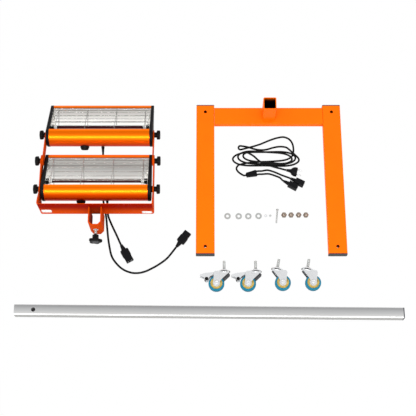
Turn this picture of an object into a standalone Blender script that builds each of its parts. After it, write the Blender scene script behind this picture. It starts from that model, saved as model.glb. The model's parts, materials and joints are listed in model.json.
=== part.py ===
"""Infrared paint curing lamp, knocked down and laid out as a kit on the floor.

Metres, +Z up. The pole lies along X in front, the U-shaped floor frame stands open towards it, and the
two-cassette head lies on the left with its yoke level. Every sub-part is its own object, and a moving
piece has its origin on the axis that it turns about or slides along.
"""
import math

import bmesh
import bpy
import numpy as np
from mathutils import Matrix, Vector

for old in list(bpy.data.objects):
    bpy.data.objects.remove(old, do_unlink=True)

# Fits shared by all the pieces
gap = 0.0003
overrun = 0.004
edge = 0.0006

# Floor frame
rail_width = 0.068
rail_height = 0.028
rail_corner = 0.004
rail_wall = 0.002
rail_length = 0.589
rail_spacing = 0.480
rail_far_y = 0.4135
left_rail_x = -0.014
cap_plate = 0.003
cap_insert = 0.012
stem_hole_radius = 0.0054
stem_hole_inset = 0.026
crossbar_inset = 0.0075
socket_width = 0.048
socket_wall = 0.003
socket_rise = 0.097
socket_setback = 0.004

# Pole
pole_width = 0.038
pole_wall = 0.002
pole_corner = 0.003
pole_length = 1.375
pole_row = 0.216
pole_y = rail_far_y - rail_length - pole_row
pole_turn = math.radians(-0.5)
pole_hole_radius = 0.0052
pole_hole_inset = 0.068

# Casters
stem_radius = 0.005
stem_length = 0.035
collar_radius = 0.009
collar_height = 0.004
cup_radius = 0.022
cup_height = 0.0055
pin_radius = 0.004
fork_width = 0.034
fork_sheet = 0.0025
fork_crown = 0.038
axle_radius = 0.004
axle_head_radius = 0.0075
axle_head = 0.0035
wheel_radius = 0.0285
wheel_width = 0.022
hub_radius = 0.0215
caster_trail = 0.028
caster_drop = 0.0495
braked_row = 0.1125
plain_row = 0.1095
braked_wheels_x = (0.026, 0.139)
plain_wheels_x = (0.2632, 0.3714)
plain_turn = math.radians(-11)
pedal_sheet = 0.003
pedal_width = 0.026
block_radius = 0.007
block_angle = math.radians(24)
brake_gap = 0.0025
pedal_pin_radius = 0.0025
ear_share = 0.424
ear_start = math.radians(19)
# Outlines as shares of the wheel's radius, from the axle: towards the pedal's side, and up
fork_shares = ((-0.72, 0.54), (-1.58, 1.33), (-1.65, 1.67), (0.03, 1.67), (0.33, 1.33), (0.33, 1.09))
pedal_top_shares = ((-0.63, 1.386), (0.35, 1.40), (1.40, 1.30), (2.07, 1.09))
pedal_low_shares = ((2.05, 0.91), (1.54, 0.74), (1.51, 0.456), (1.33, 0.333), (1.07, 0.42), (0.84, 0.81),
                    (0.42, 1.08), (-0.63, 1.088))

# Lamp head
head_x = -0.409
yoke_front = -0.024
yoke_height = 0.075
yoke_depth = 0.100
yoke_end_depth = 0.044
yoke_sheet = 0.004
yoke_width = 0.416
yoke_bend = 0.022
lower_pivot_y = 0.054
middle_pivot_y = 0.165
arm_length = 0.1228
arm_width = 0.036
arm_sheet = 0.0035
shank_radius = 0.004
knob_radius = 0.0185
knob_height = 0.013
knob_hub = 0.009
knob_hub_radius = 0.010
knob_lobes = 6
shank_reach = 0.008

# Cassettes: u runs along the opening from its near edge to its far edge, w out of it
side_room = 0.006
cassette_length = yoke_width - 2 * (yoke_sheet + side_room)
round_radius = 0.0430
opening_near = -0.0219
opening_far = 0.1418
opening_rise = 0.0371
lip = 0.012
near_lip = 0.009
sheet = 0.0015
cap_margin = 0.0010
cap_thickness = 0.011
boss_radius = 0.012
tube_radius = 0.005
tube_u = 0.019
tube_w = 0.022
holder_side = 0.0155
holder_reach = 0.014
tube_socket = 0.010
reflector_sheet = 0.0008
wire_radius = 0.0011
guard_wires = 6
guard_first = 0.010
guard_last = 0.121
guard_bars = 4
bar_span_share = 0.84
switch_radius = 0.0165
switch_height = 0.014
switch_x = -0.0575
switch_angle = math.radians(200)
switch_stroke = 0.0025
lower_tilt = math.radians(23)
upper_tilt = math.radians(30)

# Pole clamp
clamp_width = 0.048
clamp_reach = 0.070
clamp_height = 0.105
clamp_sheet = 0.004
clamp_flat = 0.025
clamp_screw_radius = 0.005
clamp_tip = 0.015
clamp_standoff = 0.021
clamp_knob_radius = 0.025
clamp_knob_height = 0.0115
clamp_hub_radius = 0.0115
clamp_hub = 0.016
clamp_lobes = 5

# Leads
lamp_cord = 0.0075
lamp_plug_width = 0.030
lamp_plug_height = 0.0204
lead_bend = 0.0315
lamp_plug_1 = ((-0.3194, -0.1397), (-0.2849, -0.2011))
lamp_plug_2 = ((-0.1178, -0.1446), (-0.0771, -0.0906))
lamp_lead_1_x = 0.034
lamp_lead_2_x = 0.010
lower_lead_angle = math.radians(240)
upper_lead_angle = math.radians(207)
lead_span = 0.300
supply_cord = 0.007
hank_length = 0.264
hank_x = 0.2072
hank_y = 0.2141
hank_layer = 0.0077
hank_turns = 2.62
turn_points = 24

# Routes as shares of the lead span, from the yoke's front face at the middle of the head
lead_1_shares = ((0.127, -0.010), (0.178, -0.131), (0.240, -0.260))
lead_2_shares = ((0.027, 0.560), (0.040, 0.340), (0.065, 0.150), (0.099, -0.010), (0.114, -0.130),
                 (0.129, -0.250), (0.150, -0.380), (0.193, -0.536), (0.295, -0.661), (0.393, -0.715),
                 (0.482, -0.731), (0.593, -0.711), (0.741, -0.633), (0.852, -0.548), (0.918, -0.466))
# Routes as shares of the hank's length, from its middle: across, away from the viewer, up
hank_start_shares = (
    (-0.306, -0.288, 0.013), (-0.364, -0.247, 0.013), (-0.397, -0.192, 0.013), (-0.367, -0.137, 0.013),
    (-0.273, -0.110, 0.013), (-0.163, -0.093, 0.013), (-0.053, -0.085, 0.013), (0.056, -0.082, 0.013),
    (0.166, -0.074, 0.013), (0.260, -0.065, 0.013), (0.347, -0.040, 0.013), (0.407, 0.011, 0.013),
    (0.424, 0.105, 0.013), (0.410, 0.200, 0.013), (0.364, 0.268, 0.013), (0.286, 0.301, 0.013),
    (0.191, 0.286, 0.013), (0.071, 0.243, 0.013), (-0.048, 0.189, 0.013), (-0.159, 0.152, 0.013),
    (-0.254, 0.125, 0.014), (-0.325, 0.103, 0.018), (-0.367, 0.122, 0.028), (-0.325, 0.150, 0.038),
    (-0.231, 0.130, 0.044), (-0.138, 0.099, 0.044), (-0.044, 0.084, 0.044), (0.043, 0.093, 0.044),
    (0.129, 0.120, 0.044), (0.224, 0.137, 0.044), (0.318, 0.125, 0.044))
hank_end_shares = (
    (-0.215, 0.000, 0.115), (-0.150, -0.035, 0.100), (-0.085, -0.085, 0.070), (-0.010, -0.122, 0.035),
    (0.050, -0.137, 0.015), (0.110, -0.155, 0.013), (0.179, -0.177, 0.014), (0.235, -0.200, 0.036))
tail_1_shares = ((-0.041, -0.277, 0.015), (0.060, -0.270, 0.013), (0.160, -0.305, 0.018),
                 (0.220, -0.340, 0.036))
tail_2_shares = ((-0.041, -0.228, 0.015), (0.038, -0.213, 0.013), (0.139, -0.241, 0.013),
                 (0.230, -0.286, 0.019), (0.295, -0.320, 0.036))
splitter_ends = ((0.1385, 0.1365), (0.1785, 0.1455))
splitter_width = 0.024
splitter_height = 0.011
tail_spacing = 0.013
mains_plug_ends = ((0.2890, 0.1520), (0.3285, 0.1435))
mains_plug_radius = 0.018
connector_1_ends = ((0.2790, 0.1095), (0.3270, 0.0820))
connector_2_ends = ((0.3040, 0.1200), (0.3520, 0.0960))

# Colours: red, green, blue, metallic, roughness
finishes = {
    "orange": (1.0, 0.23, 0.01, 0.0, 0.35),
    "red_orange": (0.68, 0.07, 0.005, 0.0, 0.4),
    "black": (0.012, 0.012, 0.014, 0.0, 0.5),
    "slate": (0.03, 0.035, 0.045, 0.0, 0.5),
    "aluminium": (0.45, 0.46, 0.48, 1.0, 0.35),
    "mirror": (0.80, 0.78, 0.74, 1.0, 0.12),
    "zinc": (0.66, 0.67, 0.70, 1.0, 0.3),
    "steel": (0.55, 0.55, 0.57, 1.0, 0.3),
    "ruby": (0.07, 0.0, 0.006, 0.0, 0.1),
    "teal": (0.0, 0.15, 0.26, 0.0, 0.55),
    "grey": (0.45, 0.45, 0.46, 0.2, 0.45),
}

parts = bpy.data.collections.new("infrared_paint_curing_lamp")
cutters = bpy.data.collections.new("cutters")
bpy.context.scene.collection.children.link(parts)
bpy.context.scene.collection.children.link(cutters)


def frame_at(origin, x_axis, y_axis):
    """The matrix of a frame with these two axes, its third at right angles to both."""
    x = Vector(x_axis).normalized()
    z = x.cross(Vector(y_axis)).normalized()
    y = z.cross(x)
    return Matrix.Translation(origin) @ Matrix((x, y, z)).transposed().to_4x4()


def finish(obj, node, colour):
    """Names a piece, gives it its own material and rounds the shading of its soft edges."""
    red, green, blue, metallic, roughness = finishes[colour]
    material = bpy.data.materials.new(node)
    material.use_nodes = True
    shader = material.node_tree.nodes["Principled BSDF"]
    shader.inputs["Base Color"].default_value = (red, green, blue, 1.0)
    shader.inputs["Metallic"].default_value = metallic
    shader.inputs["Roughness"].default_value = roughness
    material.diffuse_color = (red, green, blue, 1.0)
    obj.name = node
    obj.data.name = node
    obj.data.materials.clear()
    obj.data.materials.append(material)
    if obj.type == "MESH":
        obj.data.shade_smooth()
        obj.data.set_sharp_from_angle(angle=math.radians(32))
    return obj


def turn_about(obj, point):
    """Moves a piece's origin to a point of its axis and leaves its shape where it is."""
    obj.data.transform(Matrix.Translation(-Vector(point)))
    obj.location = point
    return obj


def solid_from(bm, name):
    bmesh.ops.recalc_face_normals(bm, faces=bm.faces)
    mesh = bpy.data.meshes.new(name)
    bm.to_mesh(mesh)
    bm.free()
    obj = bpy.data.objects.new(name, mesh)
    parts.objects.link(obj)
    return obj


def prism(name, loops, depth, frame):
    """A plate of closed outlines in the frame's XY plane, the first the outside and the rest holes, centred on it."""
    curve = bpy.data.curves.new(name, "CURVE")
    curve.dimensions = "2D"
    curve.fill_mode = "BOTH"
    curve.extrude = depth / 2
    for loop in loops:
        spline = curve.splines.new("POLY")
        spline.points.add(len(loop) - 1)
        for point, (x, y) in zip(spline.points, loop):
            point.co = (x, y, 0.0, 1.0)
        spline.use_cyclic_u = True
    guide = bpy.data.objects.new(name, curve)
    mesh = bpy.data.meshes.new_from_object(guide)
    bpy.data.objects.remove(guide, do_unlink=True)
    bpy.data.curves.remove(curve)
    bm = bmesh.new()
    bm.from_mesh(mesh)
    bpy.data.meshes.remove(mesh)
    bmesh.ops.remove_doubles(bm, verts=bm.verts, dist=1e-6)
    bmesh.ops.transform(bm, matrix=frame, verts=bm.verts)
    return solid_from(bm, name)


def turned(name, profile, steps, frame, ring=False):
    """A profile of (radius, height) points, top to bottom, turned about the frame's Z axis."""
    mesh = bpy.data.meshes.new(name)
    edges = [(i, i + 1) for i in range(len(profile) - 1)]
    if ring:
        edges.append((len(profile) - 1, 0))
    mesh.from_pydata([(radius, 0.0, height) for radius, height in profile], edges, [])
    guide = bpy.data.objects.new(name, mesh)
    parts.objects.link(guide)
    screw = guide.modifiers.new("turn", "SCREW")
    screw.axis = "Z"
    screw.steps = steps
    screw.render_steps = steps
    screw.use_merge_vertices = True
    screw.merge_threshold = 1e-5
    made = bpy.data.meshes.new_from_object(guide.evaluated_get(bpy.context.evaluated_depsgraph_get()))
    bpy.data.objects.remove(guide, do_unlink=True)
    bm = bmesh.new()
    bm.from_mesh(made)
    bpy.data.meshes.remove(made)
    bmesh.ops.transform(bm, matrix=frame, verts=bm.verts)
    return solid_from(bm, name)


def rod(name, radius, start, end, steps):
    """A round bar from one point to another."""
    start = Vector(start)
    along = Vector(end) - start
    side = along.orthogonal()
    frame = frame_at(start, side, along.cross(side))
    length = along.length
    return turned(name, [(0.0, length), (radius, length), (radius, 0.0), (0.0, 0.0)], steps, frame)


def combine(obj, others, operation):
    """Cuts, joins or intersects a piece with others, which become hidden cutters."""
    for other in others:
        boolean = obj.modifiers.new(other.name, "BOOLEAN")
        boolean.operation = operation
        boolean.solver = "EXACT"
        boolean.object = other
        parts.objects.unlink(other)
        cutters.objects.link(other)
        other.hide_render = True
        other.display_type = "WIRE"
    return obj


def soften(obj, width, segments=1, angle=40):
    bevel = obj.modifiers.new("edges", "BEVEL")
    bevel.width = width
    bevel.segments = segments
    bevel.limit_method = "ANGLE"
    bevel.angle_limit = math.radians(angle)
    return obj


def fillet(points, radii, steps=3):
    """The closed outline with its corners rounded: one radius, or one for each corner."""
    if not isinstance(radii, (list, tuple)):
        radii = [radii] * len(points)
    rounded = []
    count = len(points)
    for i, radius in enumerate(radii):
        corner = Vector(points[i])
        if radius == 0:
            rounded.append(tuple(corner))
            continue
        back = (Vector(points[i - 1]) - corner).normalized()
        ahead = (Vector(points[(i + 1) % count]) - corner).normalized()
        half = back.angle(ahead) / 2
        centre = corner + (back + ahead).normalized() * (radius / math.sin(half))
        first = corner + back * (radius / math.tan(half)) - centre
        last = corner + ahead * (radius / math.tan(half)) - centre
        sweep = math.atan2(first.x * last.y - first.y * last.x, first.dot(last))
        for step in range(steps + 1):
            rounded.append(tuple(centre + Matrix.Rotation(sweep * step / steps, 2) @ first))
    return rounded


def block_outline(width, height, corner, steps=2):
    w, h = width / 2, height / 2
    return fillet([(-w, -h), (w, -h), (w, h), (-w, h)], corner, steps)


def offset_path(points, distance, closed=False):
    """The path moved to its left by a distance, with mitred corners."""
    points = np.array(points, float)
    ahead = np.roll(points, -1, axis=0) - points
    if not closed:
        ahead[-1] = ahead[-2]
    ahead /= np.linalg.norm(ahead, axis=1)[:, None]
    behind = np.roll(ahead, 1, axis=0)
    if not closed:
        behind[0] = ahead[0]
    mean = ahead + behind
    mean /= np.linalg.norm(mean, axis=1)[:, None]
    left = np.stack([-mean[:, 1], mean[:, 0]], axis=1)
    square = (mean * ahead).sum(axis=1)
    return [tuple(p) for p in points + left * (distance / square)[:, None]]


def strip(points, thickness):
    """The closed outline of a sheet that follows the path, its thickness on the path's left."""
    return list(points) + list(reversed(offset_path(points, thickness)))


def arc(centre, radius, start, end, steps):
    angles = np.linspace(start, end, steps + 1)
    return [(centre[0] + radius * math.cos(a), centre[1] + radius * math.sin(a)) for a in angles]


def smooth_route(points, spacing):
    """Points at about this spacing on the Catmull-Rom curve through the route points."""
    points = [Vector(p) for p in points]
    padded = [2 * points[0] - points[1], *points, 2 * points[-1] - points[-2]]
    made = []
    for a, b, c, d in zip(padded, padded[1:], padded[2:], padded[3:]):
        steps = max(1, round((c - b).length / spacing))
        for step in range(steps):
            t = step / steps
            made.append(0.5 * (2 * b + (c - a) * t + (2 * a - 5 * b + 4 * c - d) * t ** 2
                               + (3 * b - a - 3 * c + d) * t ** 3))
    return made + [points[-1]]


def cord(node, points, diameter, resolution, colour="black"):
    """One round cord through the points, with capped ends, none of it lower than the floor."""
    points = [Vector((p[0], p[1], max(p[2], diameter / 2))) for p in points]
    curve = bpy.data.curves.new(node, "CURVE")
    curve.dimensions = "3D"
    curve.bevel_depth = diameter / 2
    curve.bevel_resolution = resolution
    curve.use_fill_caps = True
    spline = curve.splines.new("POLY")
    spline.points.add(len(points) - 1)
    for point, place in zip(spline.points, points):
        point.co = (*place, 1.0)
    obj = bpy.data.objects.new(node, curve)
    parts.objects.link(obj)
    length = sum((Vector(a) - Vector(b)).length for a, b in zip(points, points[1:]))
    print(f"{node}: {length:.3f} m long, {len(points)} points")
    return finish(obj, node, colour)


# Floor frame
right_rail_x = left_rail_x + rail_spacing
rail_middle_y = rail_far_y - rail_length / 2
rail_level = rail_height / 2
tube_loops = [block_outline(rail_width, rail_height, rail_corner),
              block_outline(rail_width - 2 * rail_wall, rail_height - 2 * rail_wall, rail_corner - rail_wall)]
insert_loop = block_outline(rail_width - 2 * (rail_wall + gap), rail_height - 2 * (rail_wall + gap),
                            rail_corner - rail_wall)


def facing_y(x, y, z):
    return frame_at((x, y, z), (1, 0, 0), (0, 0, 1))


for side, x in (("left", left_rail_x), ("right", right_rail_x)):
    rail = prism("rail", tube_loops, rail_length, facing_y(x, rail_middle_y, rail_level))
    holes = []
    for end in (-1, 1):
        y = rail_middle_y + end * (rail_length / 2 - stem_hole_inset)
        holes.append(rod(f"stem_hole_{side}_{end}", stem_hole_radius, (x, y, -overrun),
                         (x, y, rail_height + overrun), 20))
    finish(combine(rail, holes, "DIFFERENCE"), f"rail_{side}", "orange")
    for end, word in ((-1, "near"), (1, "far")):
        face_y = rail_middle_y + end * (rail_length / 2 + gap)
        plate = prism("plate", [tube_loops[0]], cap_plate,
                      facing_y(x, face_y + end * cap_plate / 2, rail_level))
        insert = prism(f"insert_{side}_{word}", [insert_loop], cap_insert + cap_plate / 2,
                       facing_y(x, face_y + end * cap_plate / 4 - end * cap_insert / 2, rail_level))
        finish(combine(plate, [insert], "UNION"), f"rail_cap_{side}_{word}", "slate")

crossbar_x = (left_rail_x + right_rail_x) / 2
crossbar_length = rail_spacing - rail_width - 2 * gap
crossbar_y = rail_far_y - crossbar_inset - rail_width / 2
crossbar = prism("crossbar", tube_loops, crossbar_length,
                 frame_at((crossbar_x, crossbar_y, rail_level), (0, 1, 0), (0, 0, 1)))
socket_y = crossbar_y + socket_setback
socket_base = rail_height - rail_wall / 2
socket_top = rail_height + socket_rise
socket_bore = socket_width - 2 * socket_wall
socket = prism("socket", [block_outline(socket_width, socket_width, rail_corner),
                          block_outline(socket_bore, socket_bore, rail_corner - socket_wall / 2)],
               socket_top - socket_base,
               Matrix.Translation((crossbar_x, socket_y, (socket_top + socket_base) / 2)))
finish(combine(crossbar, [socket], "UNION"), "crossbar", "orange")

# Pole and its end plug
pole_level = pole_width / 2
pole_frame = Matrix.Translation((0, pole_y, pole_level)) @ Matrix.Rotation(pole_turn, 4, "Z")
pole_tube = pole_length - cap_plate - gap
to_pole_section = Matrix.Rotation(math.radians(90), 4, "Z") @ Matrix.Rotation(math.radians(90), 4, "X")
pole_loops = [block_outline(pole_width, pole_width, pole_corner),
              block_outline(pole_width - 2 * pole_wall, pole_width - 2 * pole_wall, pole_corner - pole_wall)]
pole = prism("pole", pole_loops, pole_tube,
             pole_frame @ Matrix.Translation((-(cap_plate + gap) / 2, 0, 0)) @ to_pole_section)
hole_x = -pole_length / 2 + pole_hole_inset
hole = rod("pole_hole", pole_hole_radius, pole_frame @ Vector((hole_x, 0, -pole_width)),
           pole_frame @ Vector((hole_x, 0, pole_width)), 20)
finish(combine(pole, [hole], "DIFFERENCE"), "pole", "aluminium")
plate = prism("plate", [pole_loops[0]], cap_plate,
              pole_frame @ Matrix.Translation(((pole_length - cap_plate) / 2, 0, 0)) @ to_pole_section)
insert_side = pole_width - 2 * (pole_wall + gap)
insert_x = pole_length / 2 - cap_plate / 2 - (cap_insert + cap_plate / 2) / 2
insert = prism("pole_insert", [block_outline(insert_side, insert_side, pole_corner - pole_wall)],
               cap_insert + cap_plate / 2,
               pole_frame @ Matrix.Translation((insert_x, 0, 0)) @ to_pole_section)
finish(combine(plate, [insert], "UNION"), "pole_cap", "slate")


# Casters, lying on the rim of the cup with the wheel flat
def caster(number, wheel_at, turn, side, braked):
    """One caster. Its own frame has the stem along +Y and the wheel's axle along +Z, through the wheel's centre."""
    here = Matrix.Translation((*wheel_at, cup_radius)) @ Matrix.Rotation(turn, 4, "Z")
    swivel_x = -side * caster_trail
    crown_y = caster_drop
    stem_frame = here @ frame_at((swivel_x, crown_y, 0), (1, 0, 0), (0, 0, -1))
    fork_top = -cup_height - gap
    pin_end = fork_top - fork_sheet - gap
    head_end = pin_end - fork_sheet
    stem = turned("stem", [
        (0, stem_length), (stem_radius - edge, stem_length), (stem_radius, stem_length - 2 * edge),
        (stem_radius, collar_height), (collar_radius, collar_height), (collar_radius, 0),
        (cup_radius - 4 * edge, 0), (cup_radius, -2 * edge), (cup_radius, -cup_height),
        (cup_radius - 3 * edge, -cup_height), (cup_radius - 4 * edge, -cup_height + 2 * edge),
        (pin_radius + 4 * edge, -cup_height + 2 * edge), (pin_radius, -cup_height),
        (pin_radius, pin_end), (2 * pin_radius, pin_end), (2 * pin_radius, head_end), (0, head_end)],
        16, stem_frame)
    finish(stem, f"caster_stem_{number}", "zinc")
    turn_about(stem, here @ Vector((swivel_x, crown_y, 0)))

    channel = [(-fork_width / 2, -caster_drop - wheel_radius / 2), (-fork_width / 2, 0),
               (fork_width / 2, 0), (fork_width / 2, -caster_drop - wheel_radius / 2)]
    channel = strip(channel, -fork_sheet)
    crown_top = crown_y + fork_top
    fork = prism("fork", [channel], 3 * fork_crown,
                 here @ Matrix.Translation((swivel_x, crown_top, 0))
                 @ frame_at((0, 0, 0), (0, 0, 1), (0, 1, 0)))
    leg = [(side * wheel_radius * across, wheel_radius * up) for across, up in fork_shares]
    leg += [(side * x, y) for x, y in arc((0, 0), ear_share * wheel_radius, ear_start, -math.pi - ear_start, 9)]
    outline = prism(f"fork_outline_{number}", [leg], 2 * fork_width, here)
    combine(fork, [outline], "INTERSECT")
    bore = rod(f"pin_bore_{number}", pin_radius + gap, here @ Vector((swivel_x, crown_top + overrun, 0)),
               here @ Vector((swivel_x, crown_top - fork_sheet - overrun, 0)), 16)
    combine(fork, [bore], "DIFFERENCE")
    outer = fork_width / 2
    axle = turned(f"axle_{number}", [
        (0, outer + axle_head), (axle_head_radius - edge, outer + axle_head),
        (axle_head_radius, outer + axle_head - edge), (axle_head_radius, outer - edge),
        (axle_radius, outer - edge), (axle_radius, edge - outer), (axle_head_radius, edge - outer),
        (axle_head_radius, edge - outer - axle_head), (axle_head_radius - edge, -outer - axle_head),
        (0, -outer - axle_head)], 12, here)
    combine(fork, [axle], "UNION")
    pivot = Vector((swivel_x + side * (fork_crown / 2 - 2 * pedal_pin_radius), crown_top - 3.2 * pedal_pin_radius))
    if braked:
        pedal_bore = rod(f"pedal_bore_{number}", pedal_pin_radius + gap, here @ Vector((*pivot, -fork_width)),
                         here @ Vector((*pivot, fork_width)), 10)
        combine(fork, [pedal_bore], "DIFFERENCE")
    finish(fork, f"caster_fork_{number}", "zinc")
    turn_about(fork, here @ Vector((swivel_x, crown_y, 0)))

    half = wheel_width / 2
    face = hub_radius - 2 * edge
    bore_radius = axle_radius + gap
    tread = wheel_radius
    wheel = turned("wheel", [
        (bore_radius, half + 1.5 * edge), (2.4 * axle_radius, half + 1.5 * edge),
        (2.8 * axle_radius, half - 4 * edge), (face - 3 * edge, half - 5 * edge), (face, half - 2 * edge),
        (hub_radius, half), (tread - 5 * edge, half - edge), (tread, half - 6 * edge),
        (tread, 6 * edge - half), (tread - 5 * edge, edge - half), (hub_radius, -half),
        (face, 2 * edge - half), (face - 3 * edge, 5 * edge - half),
        (2.8 * axle_radius, 4 * edge - half), (2.4 * axle_radius, -half - 1.5 * edge),
        (bore_radius, -half - 1.5 * edge)], 20, here, ring=True)
    finish(wheel, f"wheel_{number}", "teal")
    turn_about(wheel, here.translation)
    if not braked:
        return
    top = [(side * wheel_radius * across, wheel_radius * up) for across, up in pedal_top_shares]
    low = [(side * wheel_radius * across, wheel_radius * up) for across, up in pedal_low_shares]
    pedal = prism("pedal", [top + low], pedal_width, here)
    tip_x, tip_y = top[-1]
    channel = [(top[0][0] - side * overrun, top[0][1] - pedal_sheet), (top[1][0], top[1][1] - pedal_sheet),
               (top[2][0], top[2][1] - pedal_sheet), (tip_x - side * pedal_sheet, tip_y - pedal_sheet),
               (tip_x - side * pedal_sheet, 0), (top[0][0] - side * overrun, 0)]
    hollow = prism(f"pedal_channel_{number}", [channel], pedal_width - 2 * pedal_sheet, here)
    combine(pedal, [hollow], "DIFFERENCE")
    block_way = Vector((side * math.cos(block_angle), math.sin(block_angle)))
    block_at = block_way * (wheel_radius + block_radius + brake_gap)
    block = rod(f"brake_block_{number}", block_radius, here @ Vector((*block_at, -pedal_width / 2 + edge)),
                here @ Vector((*block_at, pedal_width / 2 - edge)), 14)
    hinge_pin = rod(f"pedal_pin_{number}", pedal_pin_radius, here @ Vector((*pivot, -fork_width / 2)),
                    here @ Vector((*pivot, fork_width / 2)), 10)
    combine(pedal, [block, hinge_pin], "UNION")
    finish(pedal, f"brake_pedal_{number}", "grey")
    turn_about(pedal, here @ Vector((*pivot, 0)))


near_end_y = rail_far_y - rail_length
for number, x in enumerate(braked_wheels_x, 1):
    caster(number, (x, near_end_y - braked_row), 0, -1, True)
for number, x in enumerate(plain_wheels_x, 3):
    caster(number, (x, near_end_y - plain_row), plain_turn, 1, False)


# Yoke and folding arms
def along_x(x, y, z):
    """A frame whose XY plane is the world's YZ plane."""
    return frame_at((x, y, z), (0, 1, 0), (0, 0, 1))


half_yoke = yoke_width / 2
arm_end = middle_pivot_y + yoke_end_depth / 2
bend = yoke_front + yoke_bend
yoke_path = ([(-half_yoke, arm_end)]
             + arc((yoke_bend - half_yoke, bend), yoke_bend, math.pi, 1.5 * math.pi, 5)
             + arc((half_yoke - yoke_bend, bend), yoke_bend, 1.5 * math.pi, 2 * math.pi, 5)
             + [(half_yoke, arm_end)])
yoke = prism("yoke", [strip(yoke_path, yoke_sheet)], yoke_depth, Matrix.Translation((head_x, 0, yoke_height)))
flank = yoke_end_depth / 2
side_view = [(yoke_front - overrun, -yoke_depth), (bend, -yoke_depth), (bend, -yoke_depth / 2),
             (lower_pivot_y, -flank), (arm_end, -flank),
             (arm_end, flank), (lower_pivot_y, flank), (bend, yoke_depth / 2), (bend, yoke_depth),
             (yoke_front - overrun, yoke_depth)]
side_view = fillet(side_view, [0, 0, 0, flank, flank - edge, flank - edge, flank, 0, 0, 0], 4)
combine(yoke, [prism("yoke_side", [side_view], 1.2 * yoke_width, along_x(head_x, 0, yoke_height))], "INTERSECT")
shank_bores = [rod(f"shank_bore_{y:.3f}", shank_radius + gap, (head_x - half_yoke - overrun, y, yoke_height),
                   (head_x + half_yoke + overrun, y, yoke_height), 16) for y in (lower_pivot_y, middle_pivot_y)]
combine(yoke, shank_bores, "DIFFERENCE")
finish(yoke, "yoke", "red_orange")

upper_pivot_z = round_radius + cap_margin
upper_drop = yoke_height - upper_pivot_z
upper_pivot_y = middle_pivot_y + math.sqrt(arm_length ** 2 - upper_drop ** 2)
arm_slope = math.atan2(-upper_drop, upper_pivot_y - middle_pivot_y)
arm_outer = half_yoke - yoke_sheet - 2 * gap
arm_middle = arm_outer - arm_sheet / 2
for side, sign in (("left", -1), ("right", 1)):
    near = arc((0, 0), arm_width / 2, math.pi / 2, 1.5 * math.pi, 8)
    far = arc((arm_length, 0), arm_width / 2, -math.pi / 2, math.pi / 2, 8)
    flat = along_x(head_x + sign * arm_middle, middle_pivot_y, yoke_height) @ Matrix.Rotation(arm_slope, 4, "Z")
    bore = arc((0, 0), shank_radius + gap, 0, 2 * math.pi, 16)[:-1]
    far_bore = [(x + arm_length, y) for x, y in bore]
    arm = prism("arm", [near + far, bore, far_bore], arm_sheet, flat)
    finish(arm, f"upper_arm_{side}", "red_orange")
    turn_about(arm, (head_x + sign * arm_middle, middle_pivot_y, yoke_height))


# Knobs with their shanks
def knob_head(name, radius, height, lobes, frame):
    """A lobed grip whose back face is at the frame's origin and whose axis is the frame's Z."""
    angles = np.linspace(0, 2 * math.pi, 4 * lobes, endpoint=False)
    lobe = radius * (0.94 + 0.06 * np.cos(lobes * angles))
    outline = list(zip(lobe * np.cos(angles), lobe * np.sin(angles)))
    return soften(prism(name, [outline], height, frame @ Matrix.Translation((0, 0, height / 2))),
                  radius * 0.06, 1, 50)


def side_knob(node, sign, face, pivot, reach):
    """A side knob bearing on a face at this distance from the head's middle, its shank reaching inwards."""
    y, z = pivot
    frame = frame_at((head_x + sign * (face + gap), y, z), (0, sign, 0), (0, 0, 1))
    knob = knob_head("knob", knob_radius, knob_height, knob_lobes, frame @ Matrix.Translation((0, 0, knob_hub)))
    shank = turned(f"shank_{node}", [
        (0, knob_hub + edge), (knob_hub_radius, knob_hub + edge), (knob_hub_radius, 0), (shank_radius, 0),
        (shank_radius, -reach), (0, -reach)], 16, frame)
    combine(knob, [shank], "UNION")
    finish(knob, node, "black")
    return turn_about(knob, (head_x + sign * (face + gap), y, z))


half_cassette = cassette_length / 2
lower_boss = half_yoke - yoke_sheet - gap
upper_boss = arm_outer - arm_sheet - gap
lower_pivot = (lower_pivot_y, yoke_height)
middle_pivot = (middle_pivot_y, yoke_height)
upper_pivot = (upper_pivot_y, upper_pivot_z)
for side, sign in (("left", -1), ("right", 1)):
    side_knob(f"knob_lower_{side}", sign, half_yoke, lower_pivot, half_yoke + gap - lower_boss + shank_reach)
    side_knob(f"knob_middle_{side}", sign, half_yoke, middle_pivot, half_yoke + gap - arm_outer + arm_sheet)
    side_knob(f"knob_upper_{side}", sign, arm_outer, upper_pivot, arm_outer + gap - upper_boss + shank_reach)

# Cassette section
tip = Vector((opening_far, opening_rise))
tangent = math.atan2(tip.y, tip.x) - math.acos(round_radius / tip.length)
near_angle = math.atan2(math.sqrt(round_radius ** 2 - opening_near ** 2), opening_near)
arc_steps = 18
back = arc((0, 0), round_radius, tangent, near_angle - 2 * math.pi, arc_steps)
shell_path = [(opening_far - lip, opening_rise), (opening_far, opening_rise), *back,
              (back[-1][0] + near_lip, back[-1][1])]
# The cap's outline is the same section, a little larger and with its two corners rounded
cap_radius = round_radius + cap_margin
cap_tip = Vector((opening_far + 2 * cap_margin, opening_rise + cap_margin))
cap_tangent = math.atan2(cap_tip.y, cap_tip.x) - math.acos(cap_radius / cap_tip.length)
cap_near = math.pi - math.asin((opening_rise + cap_margin) / cap_radius)
cap_outline = fillet([tuple(cap_tip), *arc((0, 0), cap_radius, cap_tangent, cap_near - 2 * math.pi, arc_steps)],
                     [3 * cap_margin] + [0] * (arc_steps + 1), 3)
# Parabola-like trough from its near edge, under the tube and out to the far lip
reflector_shares = [(-0.45, 0.745), (-0.42, 0.52), (-0.30, 0.24), (-0.09, 0.05), (0.20, -0.05), (0.50, -0.07),
                    (0.85, -0.02), (1.30, 0.11), (1.80, 0.30), (2.42, 0.55), (3.00, 0.750)]
reflector_path = [(u * round_radius, w * round_radius) for u, w in reflector_shares]


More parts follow.
